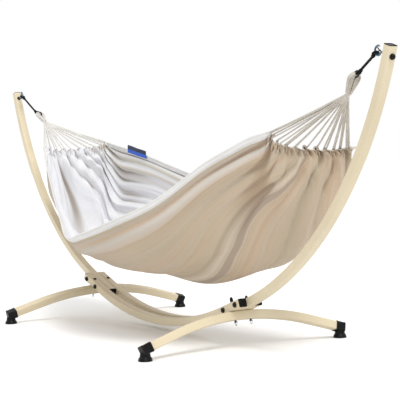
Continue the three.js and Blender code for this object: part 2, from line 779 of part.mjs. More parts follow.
// Cords from the knot to the cloth's gathered edge, in the row frame.
function cordFan(knot, side) {
  const pieces = [ball(knot, HUB_RADIUS)];
  for (let i = 0; i < FAN_CORDS; i += 1) {
    const across = THREE.MathUtils.lerp(FAN_INSET, 1 - FAN_INSET, i / (FAN_CORDS - 1));
    const edge = clothPoint(side > 0 ? 1 : 0, across);
    const back = new THREE.Vector3().subVectors(knot, edge).setLength(FAN_CORD_SHORT);
    pieces.push(bar(knot, edge.add(back), FAN_CORD_RADIUS, FAN_ROUND));
  }
  return toGeometry(unite(pieces));
}

function label() {
  const edge = curveAt(farEdge, LABEL.x);
  const along = curveAt(farEdge, LABEL.x + LABEL.width / 2).sub(curveAt(farEdge, LABEL.x - LABEL.width / 2));
  const tilt = Math.atan2(along.z, along.x);
  const tab = new THREE.BoxGeometry(LABEL.width, LABEL.thickness, LABEL.height).rotateY(-tilt);
  return tab.translate(edge.x, edge.y - LABEL.inside, edge.z + LABEL.above - LABEL.height / 2);
}

// ---------------------------------------------------------------------------------------------------------
// Assembly
// ---------------------------------------------------------------------------------------------------------

const hammockOnStand = new THREE.Group();

// Everything at one end of the stand. The left end is the right one turned half round, so near and far
// change places on it.
function addStandEnd(name, turned) {
  const end = new THREE.Group();
  const sides = turned ? { near: 1, far: -1 } : { near: -1, far: 1 };
  end.add(namedMesh(`${name}_arm_tube`, armTube(), paintedSteel));

  const top = stationGroup(ARM_END);
  top.add(namedMesh(`${name}_arm_top_plug`, tubePlug(), blackPlastic));
  const bottom = stationGroup(ARM_START);
  bottom.add(namedMesh(`${name}_arm_bottom_plug`, tubePlug().rotateY(Math.PI), blackPlastic));

  const foot = stationGroup(FOOT_AT);
  foot.add(namedMesh(`${name}_foot_bar`, footBar(), paintedSteel));

  const hook = stationGroup(HOOK_AT);
  hook.add(namedMesh(`${name}_hook_bolt`, hookBolt(), brightSteel));
  hook.add(namedMesh(`${name}_hook_latch`, hookLatch(), brightSteel));
  hook.add(namedMesh(`${name}_hook_collar`, hookCollar(), blackSteel));
  hook.add(namedMesh(`${name}_hook_nut`, hookNut(), blackPlastic));
  end.add(top, bottom, foot, hook);

  for (const [word, side] of Object.entries(sides)) {
    end.add(namedMesh(`${name}_${word}_foot_cap`, footCap(side), blackPlastic));
    const pinHole = stationGroup(FOOT_AT, side * RAIL_OFFSET);
    pinHole.add(namedMesh(`${name}_${word}_foot_pin`, footPin(!turned), blackPlastic));
    pinHole.add(namedMesh(`${name}_${word}_pin_clip`, pinClip(!turned), brightSteel));
    const railEnd = stationGroup(RAIL_END, side * RAIL_OFFSET);
    railEnd.add(namedMesh(`${name}_${word}_rail_plug`, tubePlug(), blackPlastic));
    end.add(pinHole, railEnd);
  }
  end.rotation.z = turned ? Math.PI : 0;
  hammockOnStand.add(end);
}

function addJointBolts(name, side) {
  jointBoltPlaces(side).forEach((distance, i) => {
    const place = stationGroup(distance);
    const word = i === 0 ? 'inner' : 'outer';
    place.add(namedMesh(`${name}_${word}_joint_bolt`, jointBolt(), blackSteel));
    place.add(namedMesh(`${name}_${word}_joint_nut`, jointNut(), blackPlastic));
    hammockOnStand.add(place);
  });
}

function addSuspension(name, side) {
  const hanging = suspension(name, side);
  const { gateSide } = hanging;
  const body = carabinerBody(gateSide);
  const clearing = carabinerBody(gateSide, CARABINER_WIRE + LOOP_CLEARANCE).applyMatrix4(hanging.clip);
  const loop = cordLoop(hanging.loopLength).applyMatrix4(hanging.loop);
  const pieces = [
    ['rope_link', ropeLink(hanging.ropeLength).applyMatrix4(hanging.rope), blackRope],
    ['carabiner_body', body.applyMatrix4(hanging.clip), blackSteel],
    ['carabiner_gate', carabinerGate(gateSide).applyMatrix4(hanging.clip), brightSteel],
    ['cord_loop', toGeometry(cutAll(toSolid(loop), [clearing])), cottonCord],
    ['cord_fan', cordFan(hanging.knot, side), cottonCord],
  ];
  for (const [word, geometry, material] of pieces) {
    hammockOnStand.add(namedMesh(`${name}_${word}`, geometry, material));
  }
}

hammockOnStand.add(namedMesh('near_base_rail', baseRail(-RAIL_OFFSET), paintedSteel));
hammockOnStand.add(namedMesh('far_base_rail', baseRail(RAIL_OFFSET), paintedSteel));
for (const [name, side] of [['left', -1], ['right', 1]]) {
  addStandEnd(name, side < 0);
  addJointBolts(name, side);
  addSuspension(name, side);
}
const cloth = sheetSolid(clothPoint, CLOTH_COLUMNS, CLOTH_ROWS, CLOTH_THICKNESS);
hammockOnStand.add(namedMesh('hammock_cloth', cloth, cottonCloth));
hammockOnStand.add(namedMesh('edge_label', label(), blueLabel));

export default hammockOnStand;
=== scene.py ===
# Hammock on a curved steel stand: the looks, in metres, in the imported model's frame.
import math
import bmesh
import bpy
import numpy as np
from mathutils import Matrix, Vector


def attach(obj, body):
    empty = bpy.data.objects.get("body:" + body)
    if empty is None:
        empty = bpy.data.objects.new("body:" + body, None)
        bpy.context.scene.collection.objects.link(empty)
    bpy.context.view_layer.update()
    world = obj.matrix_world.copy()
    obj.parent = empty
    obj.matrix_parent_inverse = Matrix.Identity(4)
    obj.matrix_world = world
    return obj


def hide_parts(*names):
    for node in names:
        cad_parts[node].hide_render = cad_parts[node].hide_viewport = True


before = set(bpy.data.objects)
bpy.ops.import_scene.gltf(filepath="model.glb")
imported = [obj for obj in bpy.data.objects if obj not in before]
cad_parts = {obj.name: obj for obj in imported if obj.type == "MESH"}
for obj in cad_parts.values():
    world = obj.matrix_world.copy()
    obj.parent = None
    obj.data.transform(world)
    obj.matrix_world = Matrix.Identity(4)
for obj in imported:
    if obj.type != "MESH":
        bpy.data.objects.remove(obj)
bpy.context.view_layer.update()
rng = np.random.default_rng(7)


def add_object(name, data):
    obj = bpy.data.objects.new(name, data)
    bpy.context.scene.collection.objects.link(obj)
    return obj


# ---- Camera ----
TARGET = Vector((0.383, 0.0, 0.540))
AZIMUTH, ELEVATION, ROLL = (math.radians(a) for a in (60.085, 3.582, -1.682))
DISTANCE = 6.1616

camera_data = bpy.data.cameras.new("camera")
camera_data.lens = 116.39
camera_data.sensor_width = 36.0
camera_data.shift_y = 0.0657
camera_data.clip_end = 100.0
camera = add_object("camera", camera_data)
away = Vector((math.sin(AZIMUTH) * math.cos(ELEVATION), -math.cos(AZIMUTH) * math.cos(ELEVATION),
               math.sin(ELEVATION)))
right = Vector((math.cos(AZIMUTH), math.sin(AZIMUTH), 0.0))
up = right.cross(-away)
view_right = right * math.cos(ROLL) + up * math.sin(ROLL)
view_up = up * math.cos(ROLL) - right * math.sin(ROLL)
turn = Matrix((view_right, view_up, away)).transposed().to_4x4()
camera.matrix_world = Matrix.Translation(TARGET + away * DISTANCE) @ turn
bpy.context.scene.camera = camera


# ---- Node materials ----
def linear(colour):
    """A screen colour of six hexadecimal digits, or a grey number, as a linear colour with its alpha."""
    if isinstance(colour, str):
        parts = [c / 255 for c in bytes.fromhex(colour)]
        return (*(((c + 0.055) / 1.055) ** 2.4 if c > 0.04 else c / 12.92 for c in parts), 1.0)
    return (colour, colour, colour, 1.0)


class Nodes:
    """A material's node tree, with short calls to add and join nodes."""

    def __init__(self, name):
        self.material = bpy.data.materials.new(name)
        self.material.use_nodes = True
        self.tree = self.material.node_tree
        self.shader = self.tree.nodes["Principled BSDF"]

    def add(self, kind, **settings):
        node = self.tree.nodes.new(kind)
        for key, value in settings.items():
            if key in node.inputs.keys():
                self.feed(value, node.inputs[key])
            else:
                setattr(node, key, value)
        return node

    def feed(self, value, socket):
        """Joins another node's output to a socket, or sets the socket to a colour or a number."""
        if isinstance(value, bpy.types.NodeSocket):
            self.tree.links.new(value, socket)
        else:
            socket.default_value = linear(value) if isinstance(value, str) else value

    def set(self, **values):
        for key, value in values.items():
            self.shader.inputs[key.replace("_", " ").title().replace("Ior", "IOR")].default_value = value

    def position(self):
        return self.add("ShaderNodeTexCoord").outputs["Object"]

    def uv(self, scale=(1, 1, 1)):
        flat = self.add("ShaderNodeUVMap", uv_map="flat").outputs["UV"]
        return self.add("ShaderNodeMapping", Vector=flat, Scale=scale).outputs["Vector"]

    def split(self, vector):
        node = self.add("ShaderNodeSeparateXYZ", Vector=vector)
        return node.outputs["X"], node.outputs["Y"]

    def noise(self, vector, scale, detail=4.0, rough=0.5):
        node = self.add("ShaderNodeTexNoise", Vector=vector, Scale=scale, Detail=detail, Roughness=rough)
        return node.outputs["Fac"]

    def wave(self, vector, direction, scale, distortion=0.0):
        return self.add("ShaderNodeTexWave", bands_direction=direction, Vector=vector, Scale=scale,
                        Distortion=distortion).outputs["Fac"]

    def ramp(self, factor, stops):
        node = self.add("ShaderNodeValToRGB", Fac=factor)
        elements = node.color_ramp.elements
        while len(elements) < len(stops):
            elements.new(0.5)
        for element, (place, colour) in zip(elements, stops):
            element.position = place
            element.color = linear(colour)
        return node.outputs["Color"]

    def mix(self, factor, a, b, blend="MIX"):
        node = self.add("ShaderNodeMix", data_type="RGBA", blend_type=blend)
        for value, socket in ((factor, node.inputs[0]), (a, node.inputs[6]), (b, node.inputs[7])):
            self.feed(value, socket)
        return node.outputs[2]

    def math(self, operation, a, b=0.0):
        node = self.add("ShaderNodeMath", operation=operation)
        for value, socket in zip((a, b), node.inputs):
            self.feed(value, socket)
        return node.outputs[0]

    def times(self, a, b):
        return self.math("MULTIPLY", a, b)

    def off(self, value, middle):
        """How far a value is from the middle, either way."""
        return self.math("ABSOLUTE", self.math("SUBTRACT", value, middle))

    def fade(self, value, start, stop, low=0.0, high=1.0):
        """A smooth step from low at start to high at stop."""
        node = self.add("ShaderNodeMapRange", interpolation_type="SMOOTHSTEP", Value=value)
        for name, number in zip(("From Min", "From Max", "To Min", "To Max"), (start, stop, low, high)):
            node.inputs[name].default_value = number
        return node.outputs["Result"]

    def bump(self, height, strength, distance, after=None):
        node = self.add("ShaderNodeBump", Strength=strength, Distance=distance, Height=height)
        if after is not None:
            self.feed(after, node.inputs["Normal"])
        return node.outputs["Normal"]

    def finish(self, colour=None, roughness=None, normal=None):
        for value, name in ((colour, "Base Color"), (roughness, "Roughness"), (normal, "Normal")):
            if value is not None:
                self.feed(value, self.shader.inputs[name])
        return self.material


def solid_material(name, tone, rough, bump, **settings):
    """tone and rough: a noise scale, then a ramp.
    bump: a noise scale and detail, then strength and distance."""
    n = Nodes(name)
    n.set(**settings)
    where = n.position()
    colour, roughness = (n.ramp(n.noise(where, scale), stops) for scale, *stops in (tone, rough))
    return n.finish(colour, roughness, n.bump(n.noise(where, *bump[:2]), *bump[2:]))


def cord_material(name, dark, light, groove_shade):
    n = Nodes(name)
    n.set(roughness=0.9, sheen_weight=0.1, sheen_roughness=0.5)
    fibres = n.wave(n.uv(), "DIAGONAL", 330.0, 2.0)
    tone = n.ramp(n.noise(n.position(), 14.0), [(0.3, dark), (0.7, light)])
    # The grooves between the fibres take painted shade.
    colour = n.mix(n.times(fibres, 0.3), tone, groove_shade)
    return n.finish(colour, None, n.bump(fibres, 0.5, 0.0006))


def rope_material():
    n = Nodes("black_braided_rope")
    n.set(roughness=0.8, specular_ior_level=0.2)
    fibres = n.wave(n.uv(), "DIAGONAL", 260.0, 1.5)
    colour = n.ramp(fibres, [(0.2, "050505"), (0.8, "141414")])
    return n.finish(colour, None, n.bump(fibres, 0.5, 0.0006))


def cloth_material(name, stops, streaks, gathers, bands, valley_shade):
    """Woven cotton. The flat map runs along the cloth in U and across it in V, both from 0 to 1.
    Colours follow V: broad stripes, streaks of dyed yarn, then bands that fade along U. Near the ends the
    gathers take painted shade: gathers is how far it reaches in from the ends, a strength and a tint;
    the last argument is the strength and tint of painted shade in the fold valleys."""
    n = Nodes(name)
    n.set(roughness=0.92, sheen_weight=0.1, sheen_roughness=0.6)
    along, across = n.split(n.uv())
    drift = n.times(n.math("SUBTRACT", n.noise(n.uv((2.0, 7.0, 1.0)), 1.0, 3.0), 0.5), 0.018)
    drifted = n.math("ADD", across, drift)
    colour = n.ramp(drifted, stops)
    for scale, (weight, ramp) in zip(((0.9, 24.0, 1.0), (1.6, 95.0, 1.0)), streaks):
        lines = n.noise(n.uv(scale), 1.0, 3.0, 0.6)
        colour = n.mix(weight, colour, n.ramp(lines, ramp), "MULTIPLY")
    for middle, half, soft, start, stop, tint, weight in bands:
        mask = n.fade(n.off(drifted, middle), half, half + soft, 1.0, 0.0)
        colour = n.mix(n.times(n.times(mask, n.fade(along, start, stop)), weight), colour, tint)
    # Painted shade in the gathered cloth near the ends, broken up by noise.
    reach, weight, tint = gathers
    gather_shade_mask = n.fade(n.math("MINIMUM", along, n.math("SUBTRACT", 1.0, along)), 0.0, reach, 1.0, 0.0)
    creases = n.ramp(n.noise(n.uv((9.0, 60.0, 1.0)), 1.0, 3.0), [(0.38, 0.15), (0.62, 1.0)])
    colour = n.mix(n.times(n.times(gather_shade_mask, creases), weight), colour, tint)
    # Painted shade in the fold valleys, read from the mesh's crease attribute.
    crease = n.add("ShaderNodeAttribute", attribute_name="crease").outputs["Fac"]
    weight, tint = valley_shade
    colour = n.mix(n.times(crease, weight), colour, n.mix(1.0, colour, tint, "MULTIPLY"))
    slubs = n.noise(n.uv((14.0, 700.0, 1.0)), 1.0, 3.0)
    colour = n.mix(1.0, colour, n.ramp(slubs, [(0.3, 0.94), (0.7, 1.0)]), "MULTIPLY")
    metres = n.uv((CLOTH_LENGTH, CLOTH_WIDTH, 1.0))
    weave = n.times(n.wave(metres, "X", 210.0), n.wave(metres, "Y", 210.0))
    return n.finish(colour, None, n.bump(slubs, 0.25, 0.0012, n.bump(weave, 0.35, 0.0006)))


def hem_material(name, dark, light):
    """The flat map runs along the hem in U and from its edge in V, in metres."""
    n = Nodes(name)
    n.set(roughness=0.92, sheen_weight=0.2, sheen_roughness=0.6)
    where = n.uv()
    along, inward = n.split(where)
    rows = n.math("ADD", *(n.math("LESS_THAN", n.off(inward, row), 0.0007) for row in HEM_SEAMS))
    gaps = n.math("GREATER_THAN", n.math("FRACT", n.times(along, 1 / STITCH)), 0.3)
    stitches = n.times(rows, gaps)
    tone = n.ramp(n.noise(n.uv((9.0, 60.0, 1.0)), 1.0), [(0.3, dark), (0.7, light)])
    colour = n.mix(stitches, tone, "c4baaa")
    normal = n.bump(n.wave(where, "X", 52.0, 1.0), 0.25, 0.001)
    normal = n.bump(stitches, 0.8, 0.0008, normal)
    return n.finish(colour, None, n.bump(n.wave(where, "DIAGONAL", 230.0, 1.0), 0.2, 0.0004, normal))


def label_material():
    """Two plain bands of colour inside a stitched line."""
    n = Nodes("label_fabric")
    n.set(roughness=0.75, sheen_weight=0.1)
    where = n.uv()
    u, v = n.split(where)
    bands = n.ramp(v, [(0.0, "0658c8"), (0.47, "054cb6"), (0.50, "081634"), (1.0, "07122c")])
    from_end, from_side = (n.math("SUBTRACT", 0.5, n.off(value, 0.5)) for value in (u, v))
    rim = n.math("MINIMUM", n.times(from_end, LABEL_WIDTH / LABEL_HEIGHT), from_side)
    on_line = n.math("LESS_THAN", n.off(rim, 0.075), 0.018)
    dash = n.math("GREATER_THAN", n.math("FRACT", n.times(n.math("ADD", u, n.times(v, 0.18)), 76.0)), 0.35)
    colour = n.mix(n.times(on_line, dash), bands, "1e54a0")
    return n.finish(colour, None, n.bump(n.wave(where, "DIAGONAL", 45.0), 0.3, 0.0004))


# Sizes that the weave and the seams need, in metres.
CLOTH_LENGTH, CLOTH_WIDTH = 2.75, 1.45
LABEL_WIDTH, LABEL_HEIGHT = 0.240, 0.043
HEM_SEAMS, STITCH = (0.0050, 0.0235), 0.0045

WHITE = "ffffff"
HEM_WHITE, GREIGE, OLIVE = "d0ceca", "bbac99", "b4a995"
PEACH, LILAC = "bea991", "dfdfe1"
OUTSIDE_STOPS = [
    (0.000, HEM_WHITE), (0.024, HEM_WHITE), (0.028, "b6a892"), (0.036, "b8ac98"), (0.046, "c0b8af"),
    (0.090, "bdb4a7"), (0.125, PEACH), (0.150, "bdac96"), (0.190, GREIGE), (0.215, OLIVE), (0.250, GREIGE),
    (0.270, PEACH), (0.285, GREIGE), (0.340, "beae98"), (0.470, GREIGE), (0.520, PEACH), (0.545, GREIGE),
    (0.640, OLIVE), (0.700, GREIGE), (0.780, PEACH), (0.810, GREIGE), (0.900, OLIVE), (0.960, GREIGE),
    (0.985, HEM_WHITE),
]
INSIDE_STOPS = [
    (0.000, "e1e2e6"), (0.700, "e1e2e6"), (0.735, "d5d2d0"), (0.760, "dfdfe2"), (0.800, "dfdfe2"),
    (0.815, "cfc8bb"), (0.840, "d2cbc1"), (0.850, "e1e1e4"), (0.885, LILAC), (0.897, "cbc6b9"),
    (0.925, "cfcabf"), (0.936, LILAC), (0.950, LILAC), (0.955, "797161"), (0.961, "7b7362"), (0.966, LILAC),
]
STREAK = [(0.30, "e0dcd2"), (0.46, WHITE), (0.60, "ffeeda"), (0.72, "fae2c6")]
FINE_STREAK = [(0.34, "dedad0"), (0.50, WHITE), (0.66, "fff0e0")]
PALE_STREAK = [(0.32, "eeebe6"), (0.50, WHITE), (0.70, "fcf8f2")]
# Bands of the underside: middle, half width and softness across the cloth, where they start and are full
# along it, colour and strength.
OUTSIDE_BANDS = [
    (0.396, 0.005, 0.006, 0.30, 0.55, "9a917f", 0.50),
    (0.424, 0.005, 0.005, 0.30, 0.55, "c7beaf", 0.50),
    (0.456, 0.009, 0.006, 0.35, 0.55, "938274", 0.65),
    # Painted shade: the underside darkens towards the left-hand end.
    (0.200, 0.170, 0.060, 0.85, 0.45, "a0907a", 0.50),
    (0.100, 0.016, 0.016, 0.30, 0.70, "c9c4be", 0.40),
    (0.060, 0.006, 0.006, 0.35, 0.60, "bc9c7a", 0.50),
]

CREAM = solid_material(
    "cream_powder_coat", (3.0, (0.35, "c9bb9d"), (0.65, "d0c3a6")),
    (40.0, (0.3, 0.40), (0.7, 0.52)), (900.0, 2.0, 0.12, 0.0004), coat_weight=0.12, coat_roughness=0.3)
PLASTIC = solid_material(
    "black_plastic", (25.0, (0.3, "050506"), (0.7, "0b0b0c")),
    (60.0, (0.3, 0.28), (0.7, 0.42)), (1400.0, 2.0, 0.25, 0.0003), specular_ior_level=0.18)
STEEL = solid_material(
    "zinc_plated_steel", (120.0, (0.3, "42566a"), (0.7, "7a8ea0")),
    (160.0, (0.3, 0.22), (0.7, 0.4)), (700.0, 4.0, 0.2, 0.0002), metallic=1.0)
DARK_STEEL = solid_material(
    "black_steel", (60.0, (0.3, "08080a"), (0.75, "16171a")),
    (80.0, (0.3, 0.22), (0.7, 0.38)), (500.0, 4.0, 0.15, 0.0002), metallic=0.3, specular_ior_level=0.35)
ROPE = rope_material()
# The right-hand cords take a darker copy of the cord: painted shade on the side that faces away from the
# light.
CORD_LOOKS = {"left": [cord_material("white_cotton_cord", "cecbc5", "e2e0dc", "a09a90")],
              "right": [cord_material("shaded_cotton_cord", "b8b1a6", "cec8be", "887e71")]}
# Each side of the cloth takes painted shade in its gathers and fold valleys, tinted by the last two arguments.
CLOTH_OUT = cloth_material(
    "cloth_underside", OUTSIDE_STOPS, ((0.32, STREAK), (0.35, FINE_STREAK)),
    (0.022, 0.45, "847462"), OUTSIDE_BANDS, (0.70, "c4b4a4"))
CLOTH_IN = cloth_material(
    "cloth_inside", INSIDE_STOPS, ((0.6, PALE_STREAK), (0.5, PALE_STREAK)),
    (0.02, 0.2, "a89884"), [], (1.0, "b8aca0"))
HEM = hem_material("white_cotton_hem", "cac9c7", "d5d4d2")
# A darker copy of the hem for the right-hand end: painted shade.
SHADED_END_HEM = hem_material("shaded_cotton_hem", "b0a696", "c8c0b2")


# ---- Mesh helpers ----
def lengths(points, axis=0):
    """Distance along a line of points, or along each line of a grid of them."""
    steps = np.linalg.norm(np.diff(points, axis=axis), axis=-1)
    return np.concatenate([np.zeros_like(np.take(steps, [0], axis)), np.cumsum(steps, axis=axis)], axis)


def columns_at(where, knots, values):
    """Each column of values, which are given at the knots, read at other places."""
    return [np.interp(where, knots, column) for column in values.T]


def unit(vector):
    return vector / np.linalg.norm(vector)


def square_to(axis):
    """A unit vector square to a unit axis, level where it can be."""
    level = np.cross(axis, (0.0, 0.0, 1.0))
    return unit(level if np.linalg.norm(level) >= 1e-3 else np.cross(axis, (1.0, 0.0, 0.0)))


MERGE = 1e-6


class Builder:
    """Collects the vertices and faces of one piece, with a flat coordinate for each vertex."""

    def __init__(self):
        self.points, self.faces, self.flat, self.slots = [], [], [], []

    def grid(self, rows, close_u=False, close_v=False, flat=None, slot=0):
        """rows is an array (m, n, 3) of points. close_u joins the last row to the first."""
        m, n = rows.shape[:2]
        start = len(self.points)
        self.points += [tuple(p) for p in rows.reshape(-1, 3)]
        if flat is None:
            u, v = np.meshgrid(np.linspace(0, 1, m), np.linspace(0, 1, n), indexing="ij")
            flat = np.stack([u, v], -1)
        self.flat += [tuple(f) for f in flat.reshape(-1, 2)]
        for i in range(m if close_u else m - 1):
            here, there = start + i * n, start + (i + 1) % m * n
            for j in range(n if close_v else n - 1):
                after = (j + 1) % n
                self.faces.append((here + j, there + j, there + after, here + after))
                self.slots.append(slot)

    def sleeve(self, rows, flat=None, centres=None):
        """A tube of rings, closed at both ends by triangles to the ring's middle or a given centre."""
        self.grid(rows, close_v=True, flat=flat)
        n = rows.shape[1]
        for end in (0, -1):
            start = len(self.points)
            centre = rows[end].mean(0) if centres is None else centres[end]
            self.points += [tuple(p) for p in rows[end]] + [tuple(centre)]
            self.flat += [(0.5, 0.5)] * (n + 1)
            for j in range(n):
                a, b = start + j, start + (j + 1) % n
                self.faces.append((b, a, start + n) if end else (a, b, start + n))
                self.slots.append(0)

    def tube(self, path, radius, sides=10, twist=None, lobes=0, lobe=0.0, scale=(1, 1)):
        """A round, or lobed and twisted, tube. scale widens it across the path's level and upright."""
        path = np.asarray(path, float)
        radius = np.broadcast_to(np.asarray(radius, float), (len(path),))
        tangent = np.gradient(path, axis=0)
        tangent /= np.linalg.norm(tangent, axis=1)[:, None]
        side = square_to(tangent[0])
        rows, flat = [], []
        angle = np.linspace(0, 2 * math.pi, sides, endpoint=False)
        length = lengths(path)
        for i, p in enumerate(path):
            side = unit(side - tangent[i] * (side @ tangent[i]))
            other = np.cross(tangent[i], side)
            spin = 0.0 if twist is None else 2 * math.pi * length[i] / twist
            r = radius[i] * (1 + lobe * np.cos(lobes * (angle + spin)))
            level, upright = r * np.cos(angle) * scale[0], r * np.sin(angle) * scale[1]
            rows.append(p + side * level[:, None] + other * upright[:, None])
            flat.append(np.stack([np.full(sides, length[i]), angle * radius[i]], -1))
        self.sleeve(np.array(rows), np.array(flat), path)

    def make(self, name, materials, smooth, crease=None):
        mesh = bpy.data.meshes.new(name)
        mesh.from_pydata(self.points, [], self.faces)
        layer = mesh.uv_layers.new(name="flat")
        index = np.zeros(len(mesh.loops), np.int32)
        mesh.loops.foreach_get("vertex_index", index)
        layer.data.foreach_set("uv", np.asarray(self.flat, np.float32)[index].ravel())
        # A mask of painted shade, stored on the mesh for the material.
        if crease is not None:
            values = mesh.attributes.new("crease", "FLOAT", "POINT").data
            values.foreach_set("value", np.asarray(crease, np.float32))
        for material in materials:
            mesh.materials.append(material)
        mesh.polygons.foreach_set("material_index", self.slots)
        obj = add_object(name, mesh)
        work = bmesh.new()
        work.from_mesh(mesh)
        bmesh.ops.remove_doubles(work, verts=work.verts, dist=MERGE)
        bmesh.ops.dissolve_degenerate(work, edges=work.edges, dist=MERGE / 10)
        bmesh.ops.recalc_face_normals(work, faces=work.faces)
        work.to_mesh(mesh)
        work.free()
        for polygon in mesh.polygons:
            polygon.use_smooth = True
        mesh.set_sharp_from_angle(angle=math.radians(smooth))
        return obj


LOOKS = {"painted_steel": CREAM, "black_plastic": PLASTIC, "bright_steel": STEEL, "black_steel": DARK_STEEL,
         "black_rope": ROPE}


def piece(builder, name, body, slot, node, smooth=40.0, looks=None, crease=None):
    """Makes a piece that rides on a body, takes a slot's finish and stands for a node."""
    obj = builder.make(name, looks or [LOOKS[slot]], smooth, crease)
    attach(obj, body)
    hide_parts(node)
    return obj


def sheet_rims(builder, top, under, flat):
    """The four narrow faces between the two layers of a sheet."""
    for rim in (np.s_[0], np.s_[-1], np.s_[:, 0], np.s_[:, -1]):
        builder.grid(np.stack([top[rim], under[rim]]), flat=np.stack([flat[rim], flat[rim]]))


# ---- Stand line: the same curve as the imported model's, in metres ----
TUBE, TUBE_WALL, TUBE_CORNER = 0.040, 0.002, 0.005
RAIL_RADIUS, RAIL_ARC, RAIL_HEIGHT, RAIL_END = 2.070, 0.660, 0.057, 0.834
ARM_START, ARM_BEND, ARM_RADIUS, ARM_END = 0.600, 0.800, 1.685, 2.374
RAIL_OFFSET = 0.0405
FOOT_AT, BOLT_SPREAD = 0.746, 0.055
FOOT_RADIUS, FOOT_ARC, FOOT_HALF, FOOT_DROP = 1.185, 0.360, 0.548, 0.0403
HOOK_AT, HOOK_WIRE, HOOK_RING, HOOK_REACH, HOOK_OPENING, HOOK_PULL = 2.335, 0.004, 0.0185, 0.048, 75.0, 131.0
LATCH_HINGE, LATCH_TIP = (0.0025, -0.0105), (0.0098, 0.0066)
GAP, MM = 0.0003, 0.001
CORNER_STEPS, DOME_STEPS, THREAD_PITCH = 5, 9, 0.00125
SIDES = {"left": -1, "right": 1}


def stand_point(distance):
    s, end = abs(distance), math.copysign(1.0, distance)
    rail_turn = min(s, RAIL_ARC) / RAIL_RADIUS
    straight = min(max(s - RAIL_ARC, 0.0), ARM_BEND - RAIL_ARC)
    slope = rail_turn + max(s - ARM_BEND, 0.0) / ARM_RADIUS
    x = RAIL_RADIUS * math.sin(rail_turn) + straight * math.cos(rail_turn)
    z = RAIL_HEIGHT + RAIL_RADIUS * (1 - math.cos(rail_turn)) + straight * math.sin(rail_turn)
    x += ARM_RADIUS * (math.sin(slope) - math.sin(rail_turn))
    z += ARM_RADIUS * (math.cos(rail_turn) - math.cos(slope))
    return end * x, z, end * slope


def frame_of(origin, along, side):
    """4x4 array whose columns are along, side, their cross product and the origin."""
    m = np.eye(4)
    m[:3, 0], m[:3, 1], m[:3, 2], m[:3, 3] = along, side, np.cross(along, side), origin
    return m


def station(distance, y=0.0, turned=False):
    """On the stand line: local X runs along the line and local Z up out of the tube. turned is half round."""
    x, z, slope = stand_point(distance)
    m = frame_of((x, y, z), (math.cos(slope), 0.0, math.sin(slope)), (0.0, 1.0, 0.0))
    return np.diag([-1.0, -1.0, 1.0, 1.0]) @ m if turned else m


def put(m, points):
    return np.asarray(points, float) @ m[:3, :3].T + m[:3, 3]


def rounded_square(half, corner):
    """Corner points of a rounded square, anticlockwise in its own two axes."""
    corner = min(corner, half)
    points = []
    for quarter in range(4):
        middle = math.radians(45 + 90 * quarter)
        sx, sy = math.copysign(1, math.cos(middle)), math.copysign(1, math.sin(middle))
        for step in range(CORNER_STEPS + 1):
            angle = math.radians(90 * quarter + 90 * step / CORNER_STEPS)
            points.append((sx * (half - corner) + corner * math.cos(angle),
                           sy * (half - corner) + corner * math.sin(angle)))
    return np.array(points)


def swept_tube(name, node, frames):
    """Square tube with its wall, its section in the second and third axis of each frame."""
    frames = np.array(frames)[:, None]
    second, third, origin = (frames[..., :3, k] for k in (1, 2, 3))
    rows = []
    for half, corner in ((TUBE / 2, TUBE_CORNER), (TUBE / 2 - TUBE_WALL, TUBE_CORNER - TUBE_WALL)):
        section = rounded_square(half, corner)[None]
        rows.append(origin + second * section[..., :1] + third * section[..., 1:])
    builder = Builder()
    builder.grid(np.concatenate([rows[0], rows[1][::-1]]), close_u=True, close_v=True)
    piece(builder, name, "stand", "painted_steel", node)


def square_turned(builder, m, profile):
    """Solid with rounded square sections square to local X: profile is (half width, x, corner), in mm."""
    rows = []
    for half, x, corner in np.array(profile) * MM:
        section = rounded_square(half, corner)
        rows.append(put(m, np.column_stack([np.full(len(section), x), section])))
    builder.grid(np.array(rows), close_v=True)


def line_tube(name, node, start, end, y, turned, steps):
    swept_tube(name, node, [station(s, y, turned) for s in np.linspace(start, end, steps)])


def foot_frames(name):
    """Frames down a foot bar: local X towards its positive end, local Z up out of the tube."""
    base = station(FOOT_AT, 0.0, name == "left")
    frames = []
    for distance in np.linspace(-FOOT_HALF, FOOT_HALF, 91):
        turn = min(abs(distance), FOOT_ARC) / FOOT_RADIUS
        straight = max(abs(distance) - FOOT_ARC, 0.0)
        sign = math.copysign(1.0, distance)
        y = sign * (FOOT_RADIUS * math.sin(turn) + straight * math.cos(turn))
        z = -FOOT_DROP - FOOT_RADIUS * (1 - math.cos(turn)) - straight * math.sin(turn)
        local = frame_of((0, y, z), (0, math.cos(turn), -sign * math.sin(turn)), (-1.0, 0.0, 0.0))
        frames.append(base @ local)
    return frames


def plug(name, node, m):
    """Moulded end plug: rounded plate with a sunk middle, and a ribbed stub in the tube."""
    stub, plate, corner = (TUBE / 2 - TUBE_WALL) / MM - 0.6, TUBE / 2 / MM, TUBE_CORNER / MM
    profile = [(0, -18, 0), (stub - 1.5, -18, 2), (stub, -16, 3)]
    for rib in (-14, -9.5, -5):
        profile += [(stub - 0.8, rib, 3), (stub, rib + 1.2, 3), (stub - 0.8, rib + 1.4, 3)]
    profile += [
        (stub, 0.3, 3), (plate - 0.4, 0.3, corner), (plate, 1.0, corner), (plate - 0.3, 2.4, corner),
        (plate - 1.2, 3.3, corner), (plate - 4.0, 3.3, 4), (plate - 5.2, 2.0, 3), (plate - 10.0, 1.6, 3),
        (0, 1.4, 0),
    ]
    builder = Builder()
    square_turned(builder, m, profile)
    piece(builder, name, "stand", "black_plastic", node, 35)


